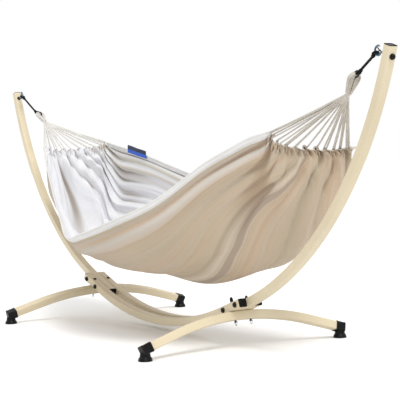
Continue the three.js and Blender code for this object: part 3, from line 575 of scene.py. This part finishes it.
def turned_part(builder, m, profile, sides=36, base=0.0):
    """Turned about local Z: profile is (radius, height above base) in mm, or (flat radius, height, True) for
    a hexagon. base is in metres."""
    angle = np.linspace(0, 2 * math.pi, sides, endpoint=False)
    hexed = math.cos(math.pi / 6) / np.cos((angle % (math.pi / 3)) - math.pi / 6)
    rows = []
    for radius, z, *rest in profile:
        r = radius * MM * (hexed if rest else 1.0) * np.ones(sides)
        ring = [r * np.cos(angle), r * np.sin(angle), np.full(sides, base + z * MM)]
        rows.append(put(m, np.column_stack(ring)))
    builder.grid(np.array(rows), close_v=True)


def axis_frame(m, along, at=(0.0, 0.0, 0.0)):
    """Frame inside m whose local Z points along a direction of m's."""
    z = unit(np.asarray(along, float))
    x = unit(np.cross((0.0, 1.0, 0.0) if abs(z[1]) < 0.9 else (1.0, 0.0, 0.0), z))
    return m @ frame_of(at, x, np.cross(z, x))


def dome(radius, height, base):
    angles = math.pi / 2 * np.arange(DOME_STEPS) / DOME_STEPS
    return [(radius * math.cos(a), base + height * math.sin(a)) for a in angles] + [(0.0, base + height)]


def thread(builder, m, start, end, radius):
    steps = int((end - start) / THREAD_PITCH * 6) + 2
    path = put(m, [(0, 0, z) for z in np.linspace(start, end, steps)])
    builder.tube(path, radius * 0.95, 20, twist=THREAD_PITCH, lobes=1, lobe=0.05)


# ---- Stand pieces ----
RAIL_FACE = RAIL_OFFSET + TUBE / 2
CAP_END, CAP_LENGTH, PAD_INSET = 4, 50, 0.016
PIN_BELOW_BAR, LEAF_HEIGHT = 0.012, 0.0262
CLIP_CORNERS = [(-9, 0), (9, 0), (1.5, -18.5), (0, -20.0), (-1.5, -18.5)]


def foot_shoe(name, node, m):
    """Foot cap: a sleeve with rolled rims on a round flared pad that stands on the ground."""
    builder = Builder()
    inner, outer, mouth = TUBE / 2 / MM + 0.3, TUBE / 2 / MM + 3.3, CAP_END - CAP_LENGTH
    square_turned(builder, m, [
        (0, 0.3, 0), (inner, 0.3, 5), (inner, mouth + 0.4, 5), (outer - 1.2, mouth, 6.5),
        (outer, mouth + 1.2, 7.5), (outer, mouth + 5.0, 7.5), (outer - 1.0, mouth + 6.2, 6.8),
        (outer - 1.0, -4, 6.8), (outer, -1, 7.5), (outer - 0.4, 1.6, 7.5), (outer - 1.8, 3.3, 7.0),
        (outer - 5.0, 4.0, 6.0), (0, 4.0, 0),
    ])
    pad = np.eye(4)
    pad[:2, 3] = put(m, (-PAD_INSET, 0, 0))[:2]
    turned_part(builder, pad, [
        (0, 0), (30.0, 0), (31.8, 0.8), (32.0, 3.0), (31.2, 6.0), (30.0, 8.0), (30.6, 9.2), (30.0, 12.0),
        (28.2, 15.0), (25.8, 16.6), (25.0, 18.0), (24.0, 24.0), (22.8, 32.0), (21.2, 37.0), (18.0, 38.5),
        (0, 38.5),
    ], 48)
    piece(builder, name, "stand", "black_plastic", node, 35)


def foot_pin(name, node, hole, clip_height, with_leaf):
    """Pin with a flat head. The right-hand ones have an upright leaf to pull them by."""
    top = TUBE / 2 + GAP
    below = (clip_height - top - PIN_BELOW_BAR / 2) / MM
    builder = Builder()
    turned_part(builder, hole, [(0, below), (3.2, below), (4.0, below + 1), (4.0, 0), (0, 0)], 20, top)
    turned_part(builder, hole, [(0, 0), (8.6, 0), (9.0, 0.6), (8.8, 2.6), (7.4, 3.8), (0, 4.0)], 32, top)
    if with_leaf:
        leaf = []
        for t in np.linspace(0, 1, 17):
            half = 0.0092 * math.sin(math.pi * min(t * 0.84 + 0.16, 1.0)) ** 0.62 + 0.0002
            thick = 0.0030 * (1 - 0.45 * t)
            ring = [(math.copysign(abs(math.sin(a)) ** 0.7, math.sin(a)) * thick, half * math.cos(a))
                    for a in np.linspace(0, 2 * math.pi, 20, endpoint=False)]
            leaf.append(put(hole, [(x, y, top + 0.002 + LEAF_HEIGHT * t) for x, y in ring]))
        builder.sleeve(np.array(leaf))
    piece(builder, name, "stand", "black_plastic", node)


def pin_clip(name, node, hole, clip_height, across):
    """Wire clip through the pin, pointing down. across turns it across the rail."""
    corners = [np.array((0, x, z) if across else (x, 0, z)) * MM + (0, 0, clip_height)
               for x, z in CLIP_CORNERS]
    loop = []
    for before, here in zip(corners, corners[1:] + corners[:1]):
        loop += [before + (here - before) * t for t in np.linspace(0.1, 0.9, 7)]
    builder = Builder()
    builder.tube(put(hole, loop + loop[:1]), 0.0012, 8)
    piece(builder, name, "stand", "bright_steel", node)


for word, y in (("near", -RAIL_OFFSET), ("far", RAIL_OFFSET)):
    line_tube(f"{word}_rail_steel", f"{word}_base_rail", -RAIL_END, RAIL_END, y, False, 121)

for name, side in SIDES.items():
    turned = name == "left"
    line_tube(f"{name}_arm_steel", f"{name}_arm_tube", ARM_START, ARM_END, 0.0, turned, 181)
    plug(f"{name}_arm_top_cap", f"{name}_arm_top_plug", station(ARM_END, 0, turned))
    back = station(ARM_START, 0, turned) @ np.diag([-1.0, 1.0, -1.0, 1.0])
    plug(f"{name}_arm_bottom_cap", f"{name}_arm_bottom_plug", back)
    frames = foot_frames(name)
    swept_tube(f"{name}_foot_steel", f"{name}_foot_bar", frames)

    for local_side in (-1, 1):
        end = f"{name}_near" if local_side * side < 0 else f"{name}_far"
        m = frames[0] @ np.diag([-1.0, -1.0, 1.0, 1.0]) if local_side < 0 else frames[-1]
        foot_shoe(f"{end}_foot_shoe", f"{end}_foot_cap", m)
        hole = station(FOOT_AT, local_side * RAIL_OFFSET, turned)
        clip_height = -FOOT_DROP - TUBE / 2 - PIN_BELOW_BAR / 2
        foot_pin(f"{end}_foot_clevis", f"{end}_foot_pin", hole, clip_height, not turned)
        pin_clip(f"{end}_clip_wire", f"{end}_pin_clip", hole, clip_height, not turned)
        plug(f"{end}_rail_cap", f"{end}_rail_plug", station(RAIL_END, local_side * RAIL_OFFSET, turned))

    for word, distance in (("inner", FOOT_AT - BOLT_SPREAD), ("outer", FOOT_AT + BOLT_SPREAD)):
        m = station(side * distance)
        base = RAIL_FACE + GAP
        tail = -(2 * RAIL_FACE + GAP) / MM - 7
        outward, inward = axis_frame(m, (0, -1, 0)), axis_frame(m, (0, 1, 0))
        builder = Builder()
        turned_part(builder, outward, [(0, tail), (4, tail), (4, 0)], 20, base)
        turned_part(builder, outward, [(4, 0), (12.8, 0), (13, 1.2), (12.8, 2.6)]
                    + [(12.4 * math.cos(a), 2.8 + 8.6 * math.sin(a)) for a in np.linspace(0.05, 1.28, 9)]
                    + [(3.0, 11.2, True), (2.9, 8.5, True), (0, 8.3)], 36, base)
        piece(builder, f"{name}_{word}_bolt_dome", "stand", "black_steel", f"{name}_{word}_joint_bolt")
        builder = Builder()
        nut = [(4.3, 0), (9, 0), (9, 1.2), (8.8, 1.4), (7.6, 1.8, True), (7.6, 6.2, True), (7.0, 7.2)]
        turned_part(builder, inward, nut + dome(6.6, 4.4, 7.4), 36, base)
        piece(builder, f"{name}_{word}_nut_cap", "stand", "black_plastic", f"{name}_{word}_joint_nut", 35)

# ---- Hooks ----
RING_CENTRE = TUBE / 2 + HOOK_REACH


def ring_point(degrees):
    a = math.radians(degrees)
    return np.array((-HOOK_RING * math.sin(a), 0.0, RING_CENTRE - HOOK_RING * math.cos(a)))


pivots = {}
for name, side in SIDES.items():
    m = station(HOOK_AT, 0.0, name == "left")
    pivots[name] = put(m, ring_point(HOOK_PULL))
    builder = Builder()
    angles = np.linspace(0, 360 - HOOK_OPENING, 64)
    neck = [(0, 0, TUBE / 2 + 0.012), (0, 0, TUBE / 2 + 0.020), (0.0004, 0, TUBE / 2 + 0.0255)]
    path = [np.array(p) for p in neck] + [ring_point(a) for a in angles[2:]]
    radius = np.full(len(path), HOOK_WIRE)
    radius[-5:] = HOOK_WIRE * np.array([0.98, 0.93, 0.84, 0.68, 0.40])
    builder.tube(put(m, path), radius, 18)
    thread(builder, m, -TUBE / 2 - 0.007, TUBE / 2 + 0.013, HOOK_WIRE)
    piece(builder, f"{name}_hook_wire", "stand", "bright_steel", f"{name}_hook_bolt", 60)

    builder = Builder()
    face = TUBE / 2 + GAP
    collar = [(4.3, 0), (11, 0), (11, 0.8), (9.6, 1.0, True), (9.6, 3.4, True), (8.6, 4.0), (4.3, 4.0)]
    turned_part(builder, m, collar + collar[:1], 36, face)
    piece(builder, f"{name}_hook_locknut", "stand", "black_steel", f"{name}_hook_collar", 35)

    builder = Builder()
    outer = axis_frame(m, (0, 0, -1))
    nut = [(4.3, 0), (11.8, 0), (12, 1.0), (11.9, 5.0)] + dome(11.6, 8.8, 5.2)
    turned_part(builder, outer, nut, 40, face)
    piece(builder, f"{name}_hook_domenut", "stand", "black_plastic", f"{name}_hook_nut")

    builder = Builder()
    hinge, tip = (np.array((x, 0.0, RING_CENTRE + z)) for x, z in (LATCH_HINGE, LATCH_TIP))
    run = tip - hinge
    path = [hinge + run * t for t in np.linspace(-0.12, 1.04, 18)]
    builder.tube(put(m, path), [0.0016] + [0.0021] * 16 + [0.0012], 16, scale=(1.45, 0.85))
    rivet = axis_frame(m, (0, 1, 0), hinge)
    head = [(2.6, 2.6), (3.0, 2.8), (3.0, 3.6), (2.2, 4.3), (0, 4.4)]
    turned_part(builder, rivet, [(r, -z) for r, z in head[::-1]] + head, 24)
    piece(builder, f"{name}_latch_strip", f"{name}_latch", "bright_steel", f"{name}_hook_latch",
          looks=[DARK_STEEL])

# ---- Rope links, carabiners and cord loops ----
HANG = {
    "left": ((-1.600, 0.021, 1.150), (-1.546, 0.031, 1.137), (-1.522, 0.037, 1.097)),
    "right": ((1.623, 0.022, 1.189), (1.570, 0.030, 1.179), (1.533, 0.037, 1.112)),
}
ROPE_RADIUS, ROPE_WIRE, KNOT_WIRE = 0.0052, 0.0042, 0.0034
CARABINER_WIRE, CARABINER_BEND, CARABINER_SIDE, GATE_HALF = 0.0035, 0.0115, 0.015, 0.012
LOOP_STRAND, LAYER_SPACING = 0.0027, 1.45
LOOP_LAYERS = [(0.0060, 6), (0.0115, 7), (0.0175, 8), (0.0235, 8)]     # half width and number of cords


def run_frame(start, end):
    """Local X from one point to another, and local Y level."""
    start, end = np.asarray(start, float), np.asarray(end, float)
    along = unit(end - start)
    level = np.array((-along[1], along[0], 0.0))
    level *= math.copysign(1.0, level[1]) / np.linalg.norm(level)
    return frame_of(start, along, level)


def smooth_path(points, count):
    """Evenly spaced points on a smooth curve through the given ones."""
    points = np.asarray(points, float)
    ends = np.vstack([2 * points[0] - points[1], points, 2 * points[-1] - points[-2]])
    out = []
    for i in range(1, len(ends) - 2):
        a, b, c, d = ends[i - 1:i + 3]
        t = np.linspace(0, 1, 24, endpoint=i == len(ends) - 3)[:, None]
        out.append(0.5 * (2 * b + (c - a) * t + (2 * a - 5 * b + 4 * c - d) * t**2
                          + (3 * b - a - 3 * c + d) * t**3))
    line = np.vstack(out)
    length = lengths(line)
    at = np.linspace(0, length[-1], count)
    return np.stack(columns_at(at, length, line), 1)


def rope_tube(builder, path, radius, strands=3, sides=15):
    """Rope laid from strands, with a turn in nine radii."""
    builder.tube(path, radius, sides, twist=9 * radius, lobes=strands, lobe=0.12)


def wraps(builder, m, centre, half, turns, radius, wire, taper=0.0):
    """Turns of cord round local X."""
    t = np.linspace(0, 1, int(turns * 20) + 1)
    angle = 2 * math.pi * turns * t
    r = radius * (1 - taper * (2 * t - 1) ** 2)
    path = np.column_stack([centre + half * (2 * t - 1), r * np.cos(angle), r * np.sin(angle)])
    rope_tube(builder, put(m, path), wire, sides=12)


for name, side in SIDES.items():
    link, clip_end, knot = (np.array(p) for p in HANG[name])
    m = run_frame(pivots[name], link)
    length = float(np.linalg.norm(link - pivots[name]))
    builder = Builder()
    for x, eye, inward in ((0.0, 0.0112, 1), (length, 0.0082, -1)):
        knot_x = x + inward * (eye + 0.009)
        bend = [(knot_x - x - inward * 0.001, 0.0018, 0.0)]
        for a in np.linspace(25, 335, 24):
            bend.append((inward * eye * math.cos(math.radians(a)), eye * math.sin(math.radians(a)), 0.0))
        bend.append((knot_x - x - inward * 0.001, -0.0018, 0.0))
        path = smooth_path(np.array(bend) + (x, 0, 0), 70)
        rope_tube(builder, put(m, path), ROPE_WIRE, 4)
        wraps(builder, m, knot_x, 0.0052, 3.2, 0.0047, KNOT_WIRE)
    run = np.linspace(0.012, length - 0.012, 110)
    rope_tube(builder, put(m, [(x, 0.0006 * math.sin(40 * x), 0) for x in run]), ROPE_RADIUS, 4, sides=18)
    piece(builder, f"{name}_rope_strand", "hammock", "black_rope", f"{name}_rope_link", 80)

    clip = run_frame(link, clip_end)
    gate_side = -side
    middle = CARABINER_SIDE + CARABINER_BEND
    turn = np.linspace(0, math.pi, 26)[1:]
    lead = np.linspace(GATE_HALF + GAP, CARABINER_SIDE, 5)
    back = np.linspace(CARABINER_SIDE, -CARABINER_SIDE, 16)[1:]
    bend = CARABINER_SIDE + CARABINER_BEND * np.sin(turn)
    along = middle + np.concatenate([lead, bend, back, -bend, -lead[-2::-1]])
    across = np.concatenate([np.ones(5), np.cos(turn), -np.ones(15), -np.cos(turn), np.ones(4)])
    path = np.column_stack([along, np.zeros(len(along)), gate_side * CARABINER_BEND * across])
    builder = Builder()
    builder.tube(put(clip, path), CARABINER_WIRE, 16)
    piece(builder, f"{name}_carabiner_frame", "hammock", "black_steel", f"{name}_carabiner_body", 60)

    builder = Builder()
    height = gate_side * CARABINER_BEND
    gate_path = [(middle + x, 0, height) for x in np.linspace(-GATE_HALF + 0.0008, GATE_HALF - 0.0008, 22)]
    gate_radius = np.full(22, 0.0027)
    gate_radius[[0, -1]], gate_radius[[1, -2]] = 0.0018, 0.0025
    gate_radius[6:9] = 0.0030
    builder.tube(put(clip, gate_path), gate_radius, 14)
    for x in (-GATE_HALF + 0.002, GATE_HALF - 0.002):
        pin = axis_frame(clip, (0, 1, 0), (middle + x, 0, height))
        turned_part(builder, pin, [(0, -3.6), (1.1, -3.4), (1.1, 3.4), (0, 3.6)], 12)
    piece(builder, f"{name}_gate_bar", f"{name}_gate", "bright_steel", f"{name}_carabiner_gate", 50,
          [STEEL if name == "left" else DARK_STEEL])

    clip_middle = put(clip, (middle, 0, 0))
    hanging = run_frame(clip_middle, knot)
    reach = float(np.linalg.norm(knot - clip_middle))
    bar_top = CARABINER_BEND - CARABINER_WIRE
    builder = Builder()
    for layer, (half_width, count) in enumerate(LOOP_LAYERS):
        for k in range(count):
            z = (k - (count - 1) / 2) / (count - 1)
            wide = half_width + rng.uniform(-0.0014, 0.0014)
            lift = bar_top - LOOP_STRAND * (1 + LAYER_SPACING * layer) + rng.uniform(-0.0004, 0.0004)
            z_top, z_low = 0.012 * z, 0.014 * z + rng.uniform(-0.001, 0.001)
            low = reach - 0.004
            neck_half = 0.0030 + 0.0021 * layer
            drop = low - lift
            half = [
                (low, neck_half, z_low), (lift + 0.72 * drop, neck_half + 0.42 * (wide - neck_half), z_low),
                (lift + 0.42 * drop, 0.93 * wide, 0.6 * z_low + 0.4 * z_top),
                (lift + 0.20 * drop, wide, z_top), (lift + 0.055 * drop, 0.70 * wide, z_top),
                (lift, 0.25 * wide, z_top),
            ]
            loop = half + [(x, -y, zz) for x, y, zz in half[::-1]]
            rope_tube(builder, put(hanging, smooth_path(loop, 74)), LOOP_STRAND, sides=9)
    piece(builder, f"{name}_loop_cords", "hammock", "cotton_cord", f"{name}_cord_loop", 80, CORD_LOOKS[name])

# ---- Cloth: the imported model's surface, with gathers and folds added ----
CLOTH_HALF, CLOTH_SHELL = 1.200, 0.0024
NEAR_LEAN, FAR_LEAN = 0.155, 0.085
LEFT_BULGE, RIGHT_BULGE, BULGE_RISE, BULGE_FALL = 0.08, 0.43, 0.3, 2
# Points of the two long edges, and of the belly's lowest line in X and Z, in mm.
NEAR_EDGE = [
    (-1200, -115, 932), (-840, -240, 770), (-440, -360, 560), (-200, -435, 484), (60, -472, 518),
    (340, -445, 588), (600, -352, 687), (830, -240, 839), (970, -190, 903), (1090, -152, 950),
    (1200, -128, 973),
]
FAR_EDGE = [
    (-1200, 282, 960), (-900, 264, 919), (-600, 251, 872), (-300, 240, 815), (0, 230, 768), (300, 236, 762),
    (600, 250, 800), (1200, 282, 900),
]
BELLY = [
    (-1200, 926), (-1110, 672), (-985, 430), (-800, 392), (-450, 388), (0, 328), (450, 288), (800, 362),
    (1000, 462), (1115, 590), (1170, 730), (1200, 892),
]


def spline_table(points, even):
    """Close points on a Catmull-Rom curve: even knots with held ends, or centripetal with free ends."""
    p = np.array(points) * MM
    ends = (p[:1], p[-1:]) if even else (2 * p[:1] - p[1:2], 2 * p[-1:] - p[-2:-1])
    p = np.vstack([ends[0], p, ends[1]])
    out = []
    for i in range(1, len(p) - 2):
        a, b, c, d = p[i - 1:i + 3]
        if even:
            start, stop = (c - a) / 2, (d - b) / 2
        else:
            k0, k1, k2 = (max(np.linalg.norm(q - r), 1e-6) ** 0.5 for q, r in ((b, a), (c, b), (d, c)))
            start = ((b - a) / k0 - (c - a) / (k0 + k1) + (c - b) / k1) * k1
            stop = ((c - b) / k1 - (d - b) / (k1 + k2) + (d - c) / k2) * k1
        t = np.linspace(0, 1, 200)[:, None]
        out.append(b + start * t + (3 * c - 3 * b - 2 * start - stop) * t**2
                   + (2 * b - 2 * c + start + stop) * t**3)
    return np.vstack(out)


near_table, far_table = spline_table(NEAR_EDGE, False), spline_table(FAR_EDGE, False)
belly_table = spline_table(BELLY, True)


def base_cloth(x, v):
    """Points of the smooth cloth, for arrays of places along it and of v from near edge to far."""
    near_y, near_z = columns_at(x, near_table[:, 0], near_table[:, 1:])
    far_y, far_z = columns_at(x, far_table[:, 0], far_table[:, 1:])
    low = np.interp(x, belly_table[:, 0], belly_table[:, 1])
    middleness = np.clip(np.cos(math.pi / 2 * x / CLOTH_HALF), 0, 1)
    bulge = np.where(x > 0, RIGHT_BULGE, LEFT_BULGE) * middleness**BULGE_RISE * (1 - middleness) ** BULGE_FALL
    # The middle of the curve is an eighth of each end and three eighths of each control point.
    pull = (low - (near_z + far_z) / 8) / 0.75
    a, b, c, d = (1 - v) ** 3, 3 * (1 - v) ** 2 * v, 3 * (1 - v) * v**2, v**3
    near_control, far_control = near_y + NEAR_LEAN * middleness, far_y + FAR_LEAN * middleness + bulge
    y = a * near_y + b * near_control + c * far_control + d * far_y
    z = a * near_z + (b + c) * pull + d * far_z
    return np.stack([x, y, z], -1)


def smoothstep(low, high, value):
    t = np.clip((value - low) / (high - low), 0, 1)
    return t * t * (3 - 2 * t)


def swell(value):
    """Rises to 1 where the value is 1, then dies away."""
    return value * np.exp(1 - value)


def normals_of(points):
    n = np.cross(np.gradient(points, axis=0), np.gradient(points, axis=1))
    return n / np.maximum(np.linalg.norm(n, axis=2, keepdims=True), 1e-12)


COLUMNS, ROWS = 400, 300
CORDS, CORD_INSET = 12, 0.015
v_line = np.linspace(0, 1, ROWS + 1)
t_line = np.linspace(0, 1, COLUMNS + 1)
tt, vv = np.meshgrid(t_line, v_line, indexing="ij")
cord_turn = (vv - CORD_INSET) / (1 - 2 * CORD_INSET) * (CORDS - 1)      # a whole number at each cord
scallop = 0.010 * np.abs(np.sin(math.pi * cord_turn[0])) ** 1.5
base = base_cloth(CLOTH_HALF * np.sin(math.pi / 2 * (2 * tt - 1)), vv)
run = lengths(base)
surface = np.empty_like(base)
for j in range(ROWS + 1):
    total = run[-1, j]
    wanted = scallop[j] + (total - 2 * scallop[j]) * run[:, j] / total
    x = np.interp(wanted, run[:, j], base[:, j, 0])
    surface[:, j] = base_cloth(x, np.full(COLUMNS + 1, v_line[j]))
from_left = lengths(surface)
from_right = from_left[-1:] - from_left
across = lengths(surface, 1)


def valley(phase, sharp=0.05):
    """Wide soft crests between narrow valleys, from -1 in a valley to 1 on a crest."""
    return 2 * np.sqrt(np.sin(phase / 2) ** 2 + sharp) / math.sqrt(1 + sharp) - 1


def inside_pull(distance, v):
    """Folds and stripes keep straight where the cloth drops from its ends, so they are pulled across it.
    Inside, the pull grows away from the end, holds, fades past the middle, and peaks on the far wall."""
    along = (1 - np.exp(-((distance / 0.17) ** 1.3))) * (1 - smoothstep(0.6, 1.9, distance))
    return 0.328 * along * np.clip(np.sin(math.pi * v**1.94), 0, 1) ** 1.2


def outside_pull(distance, v):
    """Outside, the pull swells to 0.32 m from the end and dies away, over the near wall and the belly."""
    return 0.176 * swell(distance / 0.32) ** 2 * smoothstep(0.0, 0.2, v) * (1 - smoothstep(0.45, 0.9, v))


inside_v = vv - inside_pull(from_left, vv)
outside_v = vv + outside_pull(from_right, vv)


def end_folds(distance, place, seed, outward, depth_scale, count):
    """Ruffles and gathers at the cords, running on as long folds that fade along the cloth."""
    draws = np.random.default_rng(seed)
    shift = draws.uniform(0, 2 * math.pi, 12)
    lean = draws.uniform(-1.0, 1.0, 12)
    uneven = 1 + 0.35 * np.sin(9 * vv + shift[0]) * np.sin(23 * vv + shift[1])
    ruffle = 1 - smoothstep(0.030, 0.060, distance)
    wobble = 3 * np.sin(7 * vv + shift[2])
    out = 0.0070 * ruffle * np.sin(2 * math.pi * 3 * cord_turn + 60 * distance + wobble)
    out += 0.0050 * ruffle * np.sin(2 * math.pi * 1.7 * cord_turn - 90 * distance + shift[3])
    out += 0.0110 * uneven * np.exp(-distance / 0.11) * valley(2 * math.pi * (cord_turn + 0.5))
    pull = swell(distance / 0.20)
    # Folds flatten where the pull squeezes them together.
    size = depth_scale * np.clip(1.3 * np.gradient(vv, axis=1) / np.gradient(place, axis=1), 0, 1)
    turn = 2 * math.pi * (count * place + 0.16 * np.sin(6 * place + shift[4]))
    turn += shift[5]
    turn += 1.2 * lean[0] * distance
    out += 0.0200 * size * uneven * pull * outward * valley(turn, 0.015)
    reach = swell(distance / 0.45)
    for k, (share, height) in enumerate(((0.5, 0.0150), (1.4, 0.0050), (2.1, 0.0020))):
        wander = 0.35 * np.sin(3.1 * distance + shift[k + 6])
        turn = 2 * math.pi * share * count * place + shift[k + 9] + wander + 1.4 * lean[k + 1] * distance
        out += height * size * reach * outward * valley(turn, 0.08)
    return out


depth = end_folds(from_left, inside_v, 11, 1, 1.2, 11.0) + end_folds(from_right, outside_v, 23, -1, 0.55, 9.0)
slow = np.random.default_rng(5)
for count, length_count, size in ((1.5, 1.2, 0.008), (2.5, 2.1, 0.006), (4.0, 3.3, 0.003)):
    depth += size * np.cos(2 * math.pi * (count * vv + length_count * tt) + slow.uniform(0, 6.28))
# The folds fade towards the long edges, and a flap of the near edge hangs over towards its right-hand end.
edge_fade = smoothstep(0.0, 0.05, vv) * smoothstep(0.0, 0.04, 1 - vv)
end_keep = np.exp(-np.minimum(from_left, from_right) / 0.05)
depth *= np.maximum(edge_fade, 0.4 * end_keep)
flap = smoothstep(-0.5, 0.6, surface[..., 0]) * (1 - smoothstep(1.02, 1.19, surface[..., 0]))
depth -= 0.011 * flap * np.exp(-((across - 0.100) / 0.024) ** 2)
depth += 0.009 * flap * np.exp(-((across - 0.055) / 0.013) ** 2)
surface = surface + normals_of(surface) * depth[..., None]
# Painted shade: masks of the fold valleys seen from inside, near the left-hand end, and from outside, near the
# right-hand end.
valley_shade = smoothstep(0.0, 0.016, -depth) * (1 - smoothstep(0.35, 0.8, from_left))
outside_valley_shade = smoothstep(0.002, 0.013, depth) * (1 - smoothstep(0.25, 0.6, from_right))
normal = normals_of(surface)

# Each side has its own flat map and its own painted shade, in the fold valleys seen from inside and from
# outside.
builder = Builder()
flat = np.stack([tt, across / across[:, -1:]], -1)
layers = [surface + normal * CLOTH_SHELL / 2, surface - normal * CLOTH_SHELL / 2]
for slot, (layer, pulled) in enumerate(zip(layers, (inside_v, outside_v))):
    builder.grid(layer, flat=flat + np.stack([np.zeros_like(vv), pulled - vv], -1), slot=slot)
sheet_rims(builder, *layers, flat)
crease = np.zeros(len(builder.points))
crease[:2 * vv.size] = np.concatenate([valley_shade.ravel(), outside_valley_shade.ravel()])
cloth = piece(builder, "hammock_bed", "hammock", "cotton_cloth", "hammock_cloth", 180,
              [CLOTH_IN, CLOTH_OUT], crease)


def inward_rows(values, points, distances):
    """values at the given distances in from row 0, in every column of points."""
    length = lengths(points, 1)
    return np.array([columns_at(distances, at, value) for at, value in zip(length, values)]).transpose(0, 2, 1)


def hem(name, points, normal, width, bulge):
    """Folded hem round row 0 of a sheet: a flat sleeve with two sewn lines."""
    shape = np.array([(1.0, 0.15), (0.93, 0.55), (0.86, 0.42), (0.78, 0.85), (0.60, 1.0), (0.40, 0.95),
                      (0.22, 0.72), (0.16, 0.55), (0.08, 0.75), (0.0, 0.6)])
    distances = shape[::-1, 0] * width
    mid, lift = (inward_rows(values, points, distances)[:, ::-1] for values in (points, normal))
    lift = lift / np.linalg.norm(lift, axis=2, keepdims=True)
    height = (CLOTH_SHELL / 2 + bulge * shape[:, 1])[None, :, None]
    outward = points[:, 0] - points[:, 4]
    outward /= np.linalg.norm(outward, axis=1, keepdims=True)
    tip = (points[:, 0] + outward * HEM_TIP)[:, None]
    rows = np.concatenate([mid + lift * height, tip, (mid - lift * height)[:, ::-1]], axis=1)
    inward = np.concatenate([shape[:, 0] * width, [0.0], distances])
    flat = np.stack(np.broadcast_arrays(lengths(points[:, 0])[:, None], inward[None]), -1)
    builder = Builder()
    builder.sleeve(rows, flat)
    return builder.make(name, [HEM], 180)


HEM_TIP, END_HEM_STEPS = 0.0032, 420
near_hem = hem("near_hem", surface, normal, 0.029, 0.0030)
far_hem = hem("far_hem", surface[:, ::-1], normal[:, ::-1], 0.024, 0.0026)
hems = [near_hem, far_hem]
for name, column, step in (("left", 0, 1), ("right", -1, -1)):
    edge = surface[column] + (surface[column + step] - surface[column]) * 0.3
    t = np.linspace(0, 1, END_HEM_STEPS)
    builder = Builder()
    ripple = 0.0026 + 0.0005 * np.cos(6 * math.pi * CORDS * t) + 0.0004 * np.sin(61 * t)
    builder.tube(smooth_path(edge[::2], END_HEM_STEPS), ripple, 14)
    # The right-hand end hem takes the darker copy: painted shade.
    hems.append(builder.make(f"{name}_end_hem", [HEM if name == "left" else SHADED_END_HEM], 180))
for sheet in hems:
    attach(sheet, "hammock")

# ---- Cord fans: a knot, and a pair of cords to each place on the cloth's end ----
CORD_RADIUS, TWIN_HALF = 0.0034, 0.0100     # half the share of the edge between the two cords of a pair


def at_edge(edge, v):
    return np.array(columns_at(v, v_line, edge))


for name, side in SIDES.items():
    knot = np.array(HANG[name][2])
    edge = surface[0 if name == "left" else -1]
    hub = run_frame(knot, edge.mean(0))
    builder = Builder()
    wraps(builder, hub, -0.001, 0.0095, 5.0, 0.0088, 0.0026, 0.15)
    wraps(builder, hub, 0.001, 0.0060, 3.0, 0.0055, 0.0030)
    for i in range(CORDS):
        place_v = CORD_INSET + (1 - 2 * CORD_INSET) * i / (CORDS - 1)
        for twin in (-1, 1):
            v = min(max(place_v + twin * TWIN_HALF, 0.003), 0.997)
            end = at_edge(edge, v)
            spread = unit(at_edge(edge, v + 0.02) - end)
            start = knot + spread * twin * 0.0022 + unit(end - knot) * 0.003
            t = np.linspace(0, 1, 40)[:, None]
            sag = 0.004 * rng.uniform(0.3, 1.0)
            bow = 0.0015 * rng.uniform(-1, 1)
            swell = (spread * bow - np.array((0, 0, sag))) * np.sin(math.pi * t)
            rope_tube(builder, start + (end - start) * t + swell, CORD_RADIUS, sides=9)
    piece(builder, f"{name}_fan_cords", "hammock", "cotton_cord", f"{name}_cord_fan", 80, CORD_LOOKS[name])

# ---- Label, sewn to the far hem ----
LABEL_AT, LABEL_ABOVE, LABEL_INSIDE, LABEL_SHELL = -0.728, 0.028, 0.011, 0.0012
LABEL_COLUMNS, LABEL_ROWS = 40, 12
columns = np.linspace(LABEL_AT - LABEL_WIDTH / 2, LABEL_AT + LABEL_WIDTH / 2, LABEL_COLUMNS)[:, None]
edge_y, edge_z = columns_at(columns, far_table[:, 0], far_table[:, 1:])
rise = np.linspace(-1, 0, LABEL_ROWS) * LABEL_HEIGHT + LABEL_ABOVE
u, v = np.meshgrid(np.linspace(0, 1, LABEL_COLUMNS), np.linspace(0, 1, LABEL_ROWS), indexing="ij")
curl = 0.0016 * np.sin(9 * u) + 0.0025 * (rise / LABEL_ABOVE).clip(0) ** 2 * np.sin(5 * u + 1)
points = np.stack(np.broadcast_arrays(columns, edge_y - LABEL_INSIDE + curl, edge_z + rise), -1)
flat = np.stack([u, v], -1)
lift = normals_of(points) * LABEL_SHELL / 2
builder = Builder()
for layer in (points + lift, points - lift):
    builder.grid(layer, flat=flat)
sheet_rims(builder, points + lift, points - lift, flat)
label = piece(builder, "edge_tab", "hammock", "label_fabric", "edge_label", 60, [label_material()])


# ---- Floor and light ----
FLOOR_HALF = 40.0
KEY_FROM, KEY_ENERGY, KEY_ANGLE = Vector((0.60, -0.12, 1.0)), 1.7, math.radians(24)

n = Nodes("pale_floor")
n.set(roughness=0.9, specular_ior_level=0.1)
tone = n.ramp(n.noise(n.position(), 0.6), [(0.3, 0.90), (0.7, 0.92)])
mesh = bpy.data.meshes.new("floor")
corners = [(x * FLOOR_HALF, y * FLOOR_HALF, 0) for x, y in ((-1, -1), (1, -1), (1, 1), (-1, 1))]
mesh.from_pydata(corners, [], [(0, 1, 2, 3)])
mesh.materials.append(n.finish(tone))
floor = add_object("floor", mesh)

world = bpy.data.worlds.new("studio")
bpy.context.scene.world = world
world.use_nodes = True
background = world.node_tree.nodes["Background"]
background.inputs["Color"].default_value = (1.0, 1.0, 1.0, 1.0)
background.inputs["Strength"].default_value = 1.0
bpy.context.scene.view_settings.view_transform = "Standard"

# A broad key from above the right-hand end.
key = bpy.data.lights.new("key", "SUN")
key.energy = KEY_ENERGY
key.angle = KEY_ANGLE
light = add_object("key", key)
light.matrix_world = (-KEY_FROM).to_track_quat("-Z", "Y").to_matrix().to_4x4()
